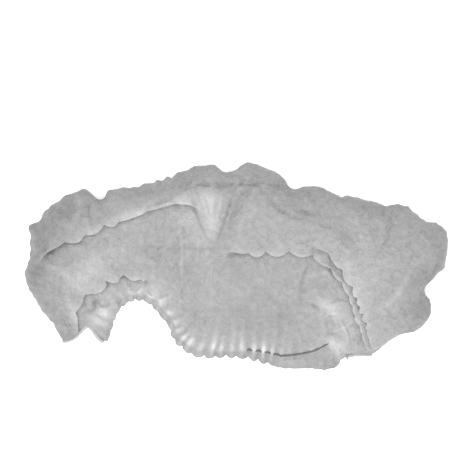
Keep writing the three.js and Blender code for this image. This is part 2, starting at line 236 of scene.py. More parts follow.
trial = np.linspace(0, LAST, TRIAL_PLACES)
on_trial = {name: values[:, 0] for name, values in columns_at(trial).items()}
hem_arc = arc_lengths(on_trial["hem_x"], on_trial["hem_y"])
rim_arc = arc_lengths(on_trial["rim_x"], on_trial["rim_y"])
effort = rim_arc + HEM_WEIGHT * hem_arc
places = np.interp(np.linspace(0, effort[-1], STATIONS), effort, trial)
s = columns_at(places)
s["place"] = places[:, None]
s["hem_arc"] = np.interp(places, trial, hem_arc)[:, None]
s["rim_arc"] = np.interp(places, trial, rim_arc)[:, None]
s["reach"] = np.hypot(s["rim_x"] - s["hem_x"], s["rim_y"] - s["hem_y"])
for pleat in ("lower", "upper"):
    s[pleat + "_angle"] = np.radians(np.clip(s[pleat + "_angle"], LEAST_ANGLE, 180))
    s[pleat + "_tuck"] = np.maximum(s[pleat + "_tuck"], LEAST_TUCK)
print("hem", round(hem_arc[-1]), "mm, rim", round(rim_arc[-1]), "mm")

# %% [markdown]
# ## Waves for gathers, scallops and crumples
#
# Four small functions make all the relief. `lobes` is a row of round swellings with sharp
# valleys between them, the shape that cloth takes when a thread gathers it. `soft_noise` is a
# smooth random surface, and `wander` is its one-dimensional form, which keeps repeats from
# looking stamped. `ridges` is the random surface folded over, which gives the crisp lines of
# crumpled cloth. All random numbers come from fixed seeds.

# %% Waves
SEED = {
    "gather_pitch": 21, "frill_edge": 22, "gather_life": 23, "gather_sway": 24,
    "rim_waves": 31, "rim_height": 35, "side_folds": 36, "side_crumples": 38,
    "slack": 41, "crumples": 51, "left_weld": 61, "right_weld": 62, "clouds": 71, "rumple": 72,
}
LINE_VALUES = 4096
LINE_START = 1000  # keeps negative lengths inside the list of values
NOISE_SIDE = 512
RIDGE_MEAN = 0.35


def smoothstep(t):
    t = np.clip(t, 0, 1)
    return t * t * (3 - 2 * t)


def fading(distance, over):
    return np.exp(-distance / over)


def bell(distance, half_width):
    return np.exp(-((distance / half_width) ** 2))


def lobes(turns, sharpness=0.8):
    """0 in the valleys, at whole numbers, and 1 on the swellings between them."""
    return np.abs(np.sin(np.pi * turns)) ** sharpness


def wander(length, pitch, seed):
    """Smooth random values from -1 to 1 along a length."""
    values = np.random.default_rng(seed).uniform(-1, 1, LINE_VALUES)
    place = length / pitch + LINE_START
    low = np.floor(place).astype(int)
    t = smoothstep(place - low)
    return values[low] * (1 - t) + values[low + 1] * t


def soft_noise(x, y, pitch, seed):
    """A smooth random surface from -1 to 1 over the plan."""
    values = np.random.default_rng(seed).uniform(-1, 1, (NOISE_SIDE, NOISE_SIDE))
    u, v = x / pitch + NOISE_SIDE // 2, y / pitch + NOISE_SIDE // 2
    i, j = np.floor(u).astype(int), np.floor(v).astype(int)
    across, up = smoothstep(u - i), smoothstep(v - j)
    near = values[i, j] * (1 - across) + values[i + 1, j] * across
    far = values[i, j + 1] * (1 - across) + values[i + 1, j + 1] * across
    return near * (1 - up) + far * up


def ridges(x, y, pitch, seed):
    """Sharp ridges and round hollows, about 0 in the mean."""
    return RIDGE_MEAN - np.abs(soft_noise(x, y, pitch, seed))


# %% [markdown]
# ## One section's line
#
# The cloth's line starts at the frill's free edge, passes the elastic, climbs the front panel,
# doubles back at each pleat, rolls over the rim and returns along the floor to the back frill. A
# pleat is an S: the cloth turns back by an angle, runs behind the hanging edge and turns forward
# again. Its hidden fold is straight, but its hanging edge is scalloped, so the length that it runs
# behind changes along the cap. Every part of the line is worked out for all stations at once.
#
# The height between two turns follows one dome that doesn't know about pleats. Each pleat adds its
# own thickness to the dome, and that fades with the distance from its edge, so where a pleat ends
# the cloth runs smooth again.

# %% Fold
FOLD_RADIUS = 0.95
FOLD_STEPS = 5
TUCK_STEPS = 4


def fold(start, height, angle, tuck):
    """Distances and heights through an S-shaped pleat."""
    turn = np.linspace(0, 1, FOLD_STEPS + 1)[None, :] * angle
    d = start + FOLD_RADIUS * np.sin(turn)
    z = height + FOLD_RADIUS * (1 - np.cos(turn))
    run = np.linspace(0, 1, TUCK_STEPS + 2)[None, 1:-1] * tuck
    d_run = d[:, [-1]] + run * np.cos(angle)
    z_run = z[:, [-1]] + run * np.sin(angle)
    d_end = d[:, [-1]] + tuck * np.cos(angle)
    z_end = z[:, [-1]] + tuck * np.sin(angle)
    back = turn[:, ::-1]
    d_back = d_end + FOLD_RADIUS * (np.sin(angle) - np.sin(back))
    z_back = z_end + FOLD_RADIUS * (np.cos(back) - np.cos(angle))
    return np.hstack([d, d_run, d_back]), np.hstack([z, z_run, z_back])


# %% Scallops
# Where each hanging edge is pulled up, as section numbers. The lobes hang between these cusps.
LOWER_CUSPS = [
    0, 2, 4.3, 6.8, 9.2, 11.4, 13.4, 15.2, 18.2, 19.5, 20.5, 21.5, 22.4, 23.3, 24, 24.7, 25.5,
    26.6, 28, 29.5, 31, 34,
]
UPPER_CUSPS = [
    0, 6.6, 8.2, 9.5, 11, 12.7, 14.2, 15.4, 16.6, 21.2, 22.1, 23, 23.75, 24.6, 25.4, 26.3, 27.2,
    28.3, 29.4, 30.6, 32, 34,
]
EDGE_ROUNDNESS = 0.65
LEAN_STEPS = 6
LEAST_RUN = 0.6  # cloth that stays hidden behind a cusp


def scalloped(cusps, depth, lip):
    """How far a hanging edge is pulled up at each station: most in the cusps between lobes.

    The pull runs along the sections, which meet the edge at a slant. So each station takes its
    pull from the place that its own pull brings it to, and the lobes hang square to the edge.
    """
    turns = np.interp(s["place"], cusps, range(len(cusps)))
    span_x, span_y = s["rim_x"] - s["hem_x"], s["rim_y"] - s["hem_y"]
    step_x = np.gradient((s["hem_x"] + span_x * lip)[:, 0])[:, None]
    step_y = np.gradient((s["hem_y"] + span_y * lip)[:, 0])[:, None]
    lean = (step_x * span_x + step_y * span_y) / (s["reach"] * (step_x**2 + step_y**2))
    lean = lean * np.gradient(turns[:, 0])[:, None]
    pull = 0 * depth
    for _ in range(LEAN_STEPS):
        brought = turns + lean * pull
        pull = (pull + depth * (1 - lobes(brought, EDGE_ROUNDNESS))) / 2
    return pull, brought


def pleat_at(name, cusps):
    """One pleat's measures at every station."""
    angle, tuck, lip, depth = (s[name + end] for end in ("_angle", "_tuck", "_lip", "_scallop"))
    pull, turns = scalloped(cusps, depth, lip)
    hidden = np.maximum(tuck - pull, LEAST_RUN)
    folded = (1 - np.cos(angle)) / 2
    edge = lip * s["reach"]
    start = edge + (tuck + FOLD_RADIUS) * folded
    rise = 2 * FOLD_RADIUS * (1 - np.cos(angle)) + hidden * np.sin(angle)
    print(len(cusps), "cusps on the", name, "edge, which stands", tenths(rise.max()), "mm thick")
    return SimpleNamespace(
        angle=angle, depth=depth, pull=pull, turns=turns, hidden=hidden, folded=folded,
        edge=edge, start=start, rise=rise,
    )


low, high = pleat_at("lower", LOWER_CUSPS), pleat_at("upper", UPPER_CUSPS)

# %% The dome
DOME_POWER = 1.7
RIM_WIDTH = 14.0
RIM_SHARE = 0.3  # the rim takes no more than this share of a short section
SETTLE = 9.0  # the distance over which a pleat's thickness fades out
FULL_PUFF = 30.0  # a shorter panel swells less
FLOOR_GAP = 0.35  # the cloth's middle line over the floor
LEAST_PANEL = 0.01

rim_width = np.minimum(RIM_WIDTH, RIM_SHARE * s["reach"])
rim_start = s["reach"] - rim_width


def dome(d):
    """Height of the cloth over the floor if it had no pleats."""
    left = 1 - np.clip(d / rim_start, 0, 1)
    return s["hem_z"] + (s["loft"] - s["hem_z"]) * (1 - left**DOME_POWER)


def panel(d0, z0, d1, z1, steps, puff=0):
    """Cloth between two turns, without its end points: the dome, reached from both ends."""
    t = (np.arange(1, steps) / steps)[None, :]
    length = np.maximum(d1 - d0, LEAST_PANEL)
    whole = np.sinh(length / SETTLE)
    near = np.sinh(length * (1 - t) / SETTLE) / whole
    far = np.sinh(length * t / SETTLE) / whole
    d = d0 + length * t
    z = dome(d) + (z0 - dome(d0)) * near + (z1 - dome(d1)) * far
    return d, z + puff * np.minimum(length / FULL_PUFF, 1) * np.sin(np.pi * t) ** 2


# %% Pleats on the dome
stacked = fading(np.maximum(high.edge - low.edge, 0), SETTLE) * (low.rise + high.rise) / 2
low_z = dome(low.edge) - low.rise / 2
high_z = dome(high.edge) - high.rise / 2 + stacked
lower = fold(low.start, low_z, low.angle, low.hidden)
upper = fold(high.start, high_z, high.angle, high.hidden)
print("where pleats meet, the upper one is lifted by", tenths(stacked.max()), "mm")

# %% Line of the cloth
FRILL_POINTS = 9
FRILL_HEM = 1  # the frill's width beside the thread, added to the table's
FRONT_POINTS = 37
MIDDLE_POINTS = 22
TOP_POINTS = 22
RIM_POINTS = 21
RIM_SQUARENESS = 0.75  # 1 for a round rim, less for a flatter top and a tighter turn
BACK_POINTS = 12
BACK_INSET = 2.0
BACK_LIFT = 0.5
BACK_LIFT_LENGTH = 9.0
BACK_FRILL = 0.55
LEAST_TOP = 1  # from the upper pleat to the start of the roll


def last_point(line):
    return line[0][:, [-1]], line[1][:, [-1]]


def squared(wave):
    return np.sign(wave) * np.abs(wave) ** RIM_SQUARENESS


def straight(start, end, steps):
    """A straight run of cloth between two points, without them."""
    t = (np.arange(1, steps) / steps)[None, :]
    return start[0] + (end[0] - start[0]) * t, start[1] + (end[1] - start[1]) * t


frill_steps = np.linspace(0, 1, FRILL_POINTS)[None, :-1]
front_frill = (-s["frill"] - FRILL_HEM) * (1 - frill_steps), s["hem_z"] + 0 * frill_steps
front_hem = 0 * s["hem_z"], s["hem_z"]
front_panel = panel(*front_hem, low.start, low_z, FRONT_POINTS)
middle_panel = panel(*last_point(lower), high.start, high_z, MIDDLE_POINTS)
top_d, top_z = last_point(upper)
roll_start = np.maximum(rim_start, top_d + LEAST_TOP)
roll_z = s["loft"] + (top_z - dome(top_d)) * fading(roll_start - top_d, SETTLE)
top_panel = panel(top_d, top_z, roll_start, roll_z, TOP_POINTS, s["puff"])
roll_turn = np.pi * (0.5 - np.linspace(0, 1, RIM_POINTS))[None, :]
roll_half = (roll_z - FLOOR_GAP) / 2
rim = (
    roll_start + (s["reach"] - roll_start) * squared(np.cos(roll_turn)),
    FLOOR_GAP + roll_half * (1 + squared(np.sin(roll_turn))),
)
back_hem = BACK_INSET + 0 * s["hem_z"], FLOOR_GAP + BACK_LIFT + 0 * s["hem_z"]
back_flat = BACK_INSET + BACK_LIFT_LENGTH + 0 * s["hem_z"], FLOOR_GAP + 0 * s["hem_z"]
back_layer = straight(last_point(rim), back_flat, BACK_POINTS)
back_rise = straight(back_flat, back_hem, BACK_POINTS // 2)
back_edge = frill_steps[:, ::-1]
back_frill = (
    BACK_INSET - (s["frill"] * BACK_FRILL + FRILL_HEM) * (1 - back_edge),
    FLOOR_GAP + BACK_LIFT + 0 * back_edge,
)

parts = {
    "front_frill": front_frill, "front_hem": front_hem, "front_panel": front_panel,
    "lower": lower, "middle_panel": middle_panel, "upper": upper, "top_panel": top_panel,
    "rim": rim, "back_layer": back_layer, "back_flat": back_flat, "back_rise": back_rise,
    "back_hem": back_hem, "back_frill": back_frill,
}
d = np.hstack([np.broadcast_to(p[0], (STATIONS, p[0].shape[1])) for p in parts.values()])
z = np.hstack([np.broadcast_to(p[1], (STATIONS, p[1].shape[1])) for p in parts.values()])
owner = np.concatenate([[k] * p[0].shape[1] for k, p in enumerate(parts.values())])
part_names = list(parts)


def in_part(*names):
    return np.isin(owner, [part_names.index(n) for n in names])[None, :]


print("cloth grid", d.shape, "points")

# %% [markdown]
# ## Gathers at the hems
#
# The elastic pulls each hem to less than half of its cloth's length, so the cloth stands in round
# gathers at the thread. Further in, neighbouring gathers run together: every second one dies out
# first, then every fourth. So the front's relief is a sum of three rows of lobes, each twice as
# wide as the one before and fading over a longer distance. The back lies flat and has two rows.
# The fine gathers of the front stand square to the hem, and the sections don't, so a point there
# counts its gathers at the nearest point of the hem. How close the cloth is packed is kept as
# `packing_and_painted_light`, because packed fibres scatter more light and look whiter, and a
# painted highlight on each gather's crest is added to it.

# %% Gather sizes
GATHER_PITCH = 6.8
PITCH_DRIFT = 0.3  # how far the gathers drift from even spacing, in gathers
PITCH_DRIFT_LENGTH = 15
LIFE = 0.85  # mean height of the gathers
LIFE_SPREAD = 0.5  # no two are alike
# turns per gather, height, distance over which it fades, distance before it starts
FRONT_GATHERS = (
    (1.0, 1.8, 5.0, 0.0),
    (0.5, 1.3, 13.0, 3.0),
    (0.25, 1.1, 32.0, 9.0),
)
BACK_GATHERS = (
    (1.0, 6.0, 110.0, 0.0),
    (0.5, 3.0, 60.0, 5.0),
)
START_SLACK = 0.3  # lets a row with no distance before it start at once
ROUNDNESS = 1.2  # over 1, the valleys between gathers are open rather than creased
SPREAD = 0.3  # how far a gather wanders sideways on its way in, in gathers
SPREAD_PITCH = 11
SPREAD_STRETCH = 0.8
SPREAD_FROM = 4
PINCH_DEPTH = 0.8
PINCH_WIDTH = 1.1
VALLEY = 0.6  # share of a lobe's height that lies over the cloth's middle line
LOW_HEM = 2  # a hem this low has no room for gathers, as at the welded ends
ROOM_HEIGHT = 7
LEAST_ROOM = 0.2

gather_turns = s["hem_arc"] / GATHER_PITCH
gather_turns = gather_turns + PITCH_DRIFT * wander(
    s["hem_arc"], PITCH_DRIFT_LENGTH, SEED["gather_pitch"]
)
liveliness = LIFE + LIFE_SPREAD * wander(gather_turns, 1, SEED["gather_life"])
hem_arc = s["hem_arc"] + 0 * d
sway = SPREAD * soft_noise(hem_arc, np.abs(d) * SPREAD_STRETCH, SPREAD_PITCH, SEED["gather_sway"])
sway = sway * (1 - fading(np.abs(d), SPREAD_FROM))
room = np.clip((s["hem_z"] - LOW_HEM) / ROOM_HEIGHT, LEAST_ROOM, 1)
print("gathers along the hem:", int(gather_turns.max()))

# %% Front gathers
SPOT_PACKING_AND_HIGHLIGHT = 0.29  # at the bright spot on each gather's crest near the thread: partly bunched cloth, partly a painted highlight
SPOT_AT = 2.4  # from the thread
SPOT_HALF_LENGTH = 2.6
# the streaks run up each gather and are whiter on its crest: partly bunched cloth, partly a painted
# highlight
STREAKED = 0.26
STREAK_LENGTH = 11.0
STREAK_VALLEY = 0.3  # the valleys' share of a streak's whiteness
STREAK_OUTSIDE = 3


def gather_relief(rows, count, life, inward, outward):
    """Height of the gathers at distances inward and outward of a thread."""
    height = 0 * inward
    for turns, rise, fades_over, start in rows:
        begun = 1 - fading(inward + outward + START_SLACK, start + START_SLACK)
        swell = lobes((count + sway) * turns, ROUNDNESS) * life
        height += rise * (swell - VALLEY) * fading(inward, fades_over) * begun
    return height


def pinch(distance):
    return PINCH_DEPTH * bell(distance, PINCH_WIDTH)


def foot_on_hem(x, y):
    """The nearest station of the hem, the count of gathers there, and the distance to it."""
    nearest, gap = np.zeros(x.shape, int), np.full(x.shape, np.inf)
    for k, (hem_x, hem_y) in enumerate(hem_line):
        away = np.hypot(x - hem_x, y - hem_y)
        nearest, gap = np.where(away < gap, k, nearest), np.minimum(gap, away)
    step = hem_steps[nearest]
    past = (x - hem_line[nearest, 0]) * step[..., 0] + (y - hem_line[nearest, 1]) * step[..., 1]
    past = np.clip(past / (step**2).sum(-1), -1, 1)
    return nearest, gather_turns[nearest, 0] + past * np.gradient(gather_turns[:, 0])[nearest], gap


front = in_part("front_frill", "front_hem", "front_panel", "lower", "middle_panel")
inward, outward = np.maximum(d, 0), np.maximum(-d, 0)
hem_line = np.hstack([s["hem_x"], s["hem_y"]])
hem_steps = np.gradient(hem_line, axis=0)
share = inward / s["reach"]
foot, foot_turns, from_hem = foot_on_hem(
    s["hem_x"] + (s["rim_x"] - s["hem_x"]) * share, s["hem_y"] + (s["rim_y"] - s["hem_y"]) * share
)
is_inside = front & (d > 0)
count = np.where(is_inside, foot_turns, gather_turns)
life = np.where(is_inside, liveliness[foot, 0], liveliness)
strength = np.where(is_inside, s["gather"][foot, 0], s["gather"])
from_hem = np.where(is_inside, from_hem, inward)

crest = lobes(count + sway)
spot = SPOT_PACKING_AND_HIGHLIGHT * crest**4 * bell(from_hem - SPOT_AT, SPOT_HALF_LENGTH) * np.exp(-outward)
streak = STREAKED * (STREAK_VALLEY + (1 - STREAK_VALLEY) * crest**3)
streak = streak * np.exp(-((from_hem / STREAK_LENGTH) ** 1.5)) * fading(outward, STREAK_OUTSIDE)
packing_and_painted_light = np.where(front, (life**2 * spot + life * streak) * strength, 0)
fine = gather_relief(FRONT_GATHERS[:2], count, life, from_hem, outward) - pinch(from_hem + outward)
wide = gather_relief(FRONT_GATHERS[2:], gather_turns, liveliness, inward, outward)
z = z + np.where(front, (fine * strength + wide * s["gather"]) * room, 0)
print("gathers rise to", tenths(z[:, front[0]].max()), "mm")

# %% Back gathers
BACK_STARTS_OVER = 4
BACK_ENDS_OVER = 12  # before the rim

back = in_part("back_frill", "back_hem", "back_rise", "back_flat", "back_layer")
back_in, back_out = np.maximum(d - BACK_INSET, 0), np.maximum(BACK_INSET - d, 0)
back_swell = gather_relief(BACK_GATHERS, gather_turns, liveliness, back_in, back_out)
back_swell = (back_swell - pinch(back_in + back_out)) * s["gather"] * room
lift = VALLEY * sum(rise * fading(back_in, over) for _, rise, over, _ in BACK_GATHERS)
lift = lift * s["gather"] * room * (1 - fading(back_in + back_out, BACK_STARTS_OVER))
back_swell = np.maximum(back_swell + lift, 0) * smoothstep((rim_start - back_in) / BACK_ENDS_OVER)
z = z + np.where(back, back_swell, 0)
print("the back layer rises to", tenths(back_swell.max()), "mm over the floor")

# %% Frills
FRILL_DROOP = 1.2
FRILL_WAVE = 1.6
FLAP_FROM = 20  # from this hem x on, the frill is a smooth flap
FLAP_OVER = 5
ARCH_AT = -54  # round the arch of the hem the frill is stretched nearly straight
ARCH_HALF_WIDTH = 9
ARCH_STRAIGHT = 0.7
RIPPLE = 2.2  # how far a gather pushes the free edge out
RIPPLE_ROUNDNESS = 0.55
FRAY = 0.5
FRAY_PITCH = 2.5

frill_share = np.clip(outward / (s["frill"] + FRILL_HEM), 0, 1)
z = z - frill_share * FRILL_DROOP * room
frill_life = s["gather"] * (1 - smoothstep((s["hem_x"] - FLAP_FROM) / FLAP_OVER))
arch = bell(s["hem_x"] - ARCH_AT, ARCH_HALF_WIDTH)
frill_life = frill_life * (1 - ARCH_STRAIGHT * arch)
z = z + frill_share * FRILL_WAVE * (lobes(gather_turns) - VALLEY) * room * frill_life

ripple = (lobes(gather_turns, RIPPLE_ROUNDNESS) - VALLEY) * RIPPLE * frill_life
ripple = ripple + FRAY * wander(s["hem_arc"], FRAY_PITCH, SEED["frill_edge"])
share_out = np.where(in_part("front_frill"), outward, back_out) / (s["frill"] + FRILL_HEM)
edge_move = np.where(in_part("front_frill", "back_frill"), ripple * np.clip(share_out, 0, 1), 0)
d = d - edge_move
print("frills ripple by", tenths(np.ptp(edge_move)), "mm")

# %% [markdown]
# ## Scallops of the hanging pleats
#
# A pleat that is pulled open hangs in shallow scallops, because the gathers hold it back every
# centimetre or so. Above each lobe the cloth swells, and a short crease runs up from each cusp.
# The rim gets loose, uneven waves of its own, in plan and in height.

# %% Scallop relief
SWELL = 2.4
SWELL_FADES_OVER = 8.0
SWELL_ROUNDNESS = 0.6
SWELL_VALLEY = 0.7
FULL_DEPTH = 3  # scallops this deep and deeper swell fully
EDGE_SHEEN = 0.15  # a folded edge is two layers, so it is whiter, and a painted highlight fades up from it
EDGE_SHEEN_WIDTH = 5.0
EDGE_SHADE = 0.14  # painted shadow right under the edge, where the overhang shades the cloth
EDGE_SHADE_WIDTH = 1.5
SHADE_LOST = 0.6  # share of the painted shadow left off on the right
SHADE_LOST_OVER = 10


def scallop_swell(pleat):
    share = np.clip(pleat.depth / FULL_DEPTH, 0, 1)
    swell = lobes(pleat.turns, SWELL_ROUNDNESS) - SWELL_VALLEY
    return SWELL * share * swell * fading(np.maximum(d - pleat.edge, 0), SWELL_FADES_OVER)


def edge_sheen(pleat):
    above = np.maximum(d - pleat.edge - 1, 0)
    return EDGE_SHEEN * pleat.folded * fading(above, EDGE_SHEEN_WIDTH)


# A painted shadow: greyer cloth just under each hanging edge.
def edge_shade(pleat):
    below = np.maximum(pleat.edge + pleat.pull - d, 0)
    shadow_share = 1 - SHADE_LOST * smoothstep((s["hem_x"] - FLAP_FROM) / SHADE_LOST_OVER)
    return EDGE_SHADE * shadow_share * pleat.folded * bell(below, EDGE_SHADE_WIDTH)


for pleat, fold_part, over in ((low, "lower", "middle_panel"), (high, "upper", "top_panel")):
    z = z + np.where(in_part(over), scallop_swell(pleat), 0)
    packing_and_painted_light = packing_and_painted_light + np.where(in_part(over, fold_part), edge_sheen(pleat), 0)
for pleat, under in ((low, "front_panel"), (high, "middle_panel")):
    packing_and_painted_light = packing_and_painted_light - np.where(in_part(under), edge_shade(pleat), 0)

# %% Rim relief
RIM_WAVES = ((17.0, 0.6), (8.0, 0.5), (4.0, 0.5), (2.2, 0.45))  # pitch and depth
RIM_HEIGHT = (9, 0.8)  # the same for the roll's top
SIDE_FOLDS = (18.0, 1.6)
SIDE_CRUMPLES = ((13.0, 2.2), (7.0, 1.2))  # crisp ridges, as in paper
FOLD_STRETCH = 1.6  # folds of the side are shorter upwards than along the rim
CRUMPLE_STRETCH = 1.3
CRUMPLE_LEAN = 0.6
RIM_SHADE = 0.06  # the side turns away from the lamp
RIM_SHADE_WIDTH = 17.0
RIM_SHADE_OVER = 9

near_rim = smoothstep((d - rim_start) / rim_width)
waves = sum(
    depth * wander(s["rim_arc"], pitch, SEED["rim_waves"] + k)
    for k, (pitch, depth) in enumerate(RIM_WAVES)
)
pitch, depth = SIDE_FOLDS
side_folds = depth * soft_noise(s["rim_arc"] + 0 * d, FOLD_STRETCH * z, pitch, SEED["side_folds"])
leaning = s["rim_arc"] + CRUMPLE_LEAN * z
side_crumples = sum(
    depth * ridges(leaning, CRUMPLE_STRETCH * z, pitch, SEED["side_crumples"] + k)
    for k, (pitch, depth) in enumerate(SIDE_CRUMPLES)
)
d = d + near_rim * (waves + side_folds + side_crumples)
upper_side = np.clip((z - FLOOR_GAP) / (s["loft"] - FLOOR_GAP), 0, 1)
pitch, depth = RIM_HEIGHT
z = z + near_rim * upper_side * depth * wander(s["rim_arc"], pitch, SEED["rim_height"])
rim_band = smoothstep((d - (s["reach"] - RIM_SHADE_WIDTH)) / RIM_SHADE_OVER)
packing_and_painted_light = packing_and_painted_light - RIM_SHADE * rim_band
print("cloth rises to", tenths(z.max()), "mm")

# %% [markdown]
# ## From the sections to the plan
#
# Each point goes out along its section's line over the floor. The frill goes the other way, square
# to the hem. Local folds draw the rim in without moving the cloth inside it. The left weld is
# creased inwards, and both ends are pressed flat where they are welded.

# %% Plan
NOTCH_DEPTH = 8.0
NOTCH_AT = 0.42
NOTCH_HALF_WIDTH = 0.27
NOTCH_FADES_OVER = 3
BITE_POWER = 5
END_FLATNESS = 0.45
END_LENGTH = 2.5
SMOOTH_LEFT = 1.8  # sections over which the hem's direction is evened out for the frill
SMOOTH_RIGHT = 6.0
SMOOTH_TURN = 20  # the section where the left half's smoothing starts to turn into the right's
SMOOTH_TURN_OVER = 6


def hem_normal():
    """Unit vectors square to the hem, pointing inwards, evened out along the cap."""
    turn = smoothstep((s["place"] - SMOOTH_TURN) / SMOOTH_TURN_OVER)
    over = SMOOTH_LEFT + (SMOOTH_RIGHT - SMOOTH_LEFT) * turn
    weights = bell(s["place"] - s["place"].T, over) * np.gradient(s["place"][:, 0])[None, :]
    smooth_x = weights @ s["hem_x"] / weights.sum(1, keepdims=True)
    smooth_y = weights @ s["hem_y"] / weights.sum(1, keepdims=True)
    along_x, along_y = np.gradient(smooth_x[:, 0]), np.gradient(smooth_y[:, 0])
    length = np.hypot(along_x, along_y)
    return (-along_y / length)[:, None], (along_x / length)[:, None]


normal_x, normal_y = hem_normal()


def plan(d):
    along = np.maximum(d, 0) / s["reach"]
    out = np.minimum(d, 0)
    crease = bell(along - NOTCH_AT, NOTCH_HALF_WIDTH)
    fade = np.maximum(0, 1 - s["place"] / NOTCH_FADES_OVER)
    along = along - s["bite"] / s["reach"] * along**BITE_POWER
    x = s["hem_x"] + (s["rim_x"] - s["hem_x"]) * along + normal_x * out
    y = s["hem_y"] + (s["rim_y"] - s["hem_y"]) * along + normal_y * out
    return x, y + NOTCH_DEPTH * crease * fade


# %% [markdown]
# ## Tugs of the outline
#
# A cap that is pulled open by hand doesn't end up even: here and there the cloth was tugged out or
# in a little. Each row of the table moves the plan around one place, and fades out over its radius.

# %% Tugs
# x, y, move in x, move in y, radius
TUGS = [
    (126, 33, -2.2, -4.4, 12),
    (96, 43, 0, -4.0, 9),
    (142, 16, -2, 0, 12),
    (62, 49, 0.5, 1.8, 7),
    (37, 56, -1, -3.2, 6),
    (27, 60, 1, 1, 6),
    (13, 68, -0.7, -1.5, 8),
    (-2, 67, 0.8, -2, 4),
    (-12, 66, 0.5, 1.3, 5),
    (-23, 68, 0, -1.5, 7),
    (-34, 64, -0.3, 1.4, 6),
    (-51, 57, 0, -1.7, 4),
    (-46.5, 57.5, 0.4, 2.4, 1.6),
    (-52.5, 56, 0, 2.2, 1.6),
    (-61, 54, 0, 1.2, 3),
    (-69, 51.5, 0, 1.3, 1.6),
    (-76, 50, 0, 1.2, 1.8),
    (-85, 50, -1, 0.8, 3),
    (-109, 52, 1.8, -2.5, 6),
    (-103, 55, 0.5, 1.2, 3),
    (-126, 38, -1.3, 1.3, 6),
    (-132, 31, 1.5, -1, 5),
    (-137, 26, -1.5, 1, 3.5),
    (-138, 6, 2, 0, 7),
    (-134, -21, -1.2, -0.8, 8),
    (-118, -46, -1.5, -1, 7),
    (-99, -43, 0, 1.5, 5),
    (-90, -50, 0, -2, 5),
    (-84, -39, 1.2, 0, 6),
    (-75, -26, -1, -0.7, 4),
    (-48, -39, 3, 1.5, 8),
    (-26, -58, -1, -2.2, 9),
    (29, -67, 0, -1.5, 8),
    (-57, -27, 1.2, 1.2, 7),
    (69, -63, 0.5, -0.8, 5),
    (92, -58, 0.5, -3, 9),
    (109, -48, 0, 2.5, 9),
    (134, -7, -1.8, 1.2, 4),
    (127, -14, -2, 0.5, 5),
    (137, -1, 1.3, -0.7, 6),
]


def tugged(x, y):
    move_x, move_y = 0 * x, 0 * y
    for cx, cy, dx, dy, radius in TUGS:
        weight = np.exp(-((x - cx) ** 2 + (y - cy) ** 2) / radius**2)
        move_x, move_y = move_x + dx * weight, move_y + dy * weight
    return x + move_x, y + move_y


x, y = tugged(*plan(d))
from_end = np.minimum(s["place"], LAST - s["place"])
squash = END_FLATNESS + (1 - END_FLATNESS) * smoothstep(from_end / END_LENGTH)
z = z * squash
print("plan x", round(float(x.min())), "to", round(float(x.max())), "mm")
print("plan y", round(float(y.min())), "to", round(float(y.max())), "mm")

# %% [markdown]
# ## Creases and crumples
#
# Cloth that was packed in a strip keeps its creases. Each row of the table is one crease of the
# upper side: a curve over the plan, with the height of its ridge, or depth of its groove, and the
# step between its two sides. Everything over the same spot moves together, so the layers of a pleat
# keep their distance. Fine noise adds the slack that is everywhere.

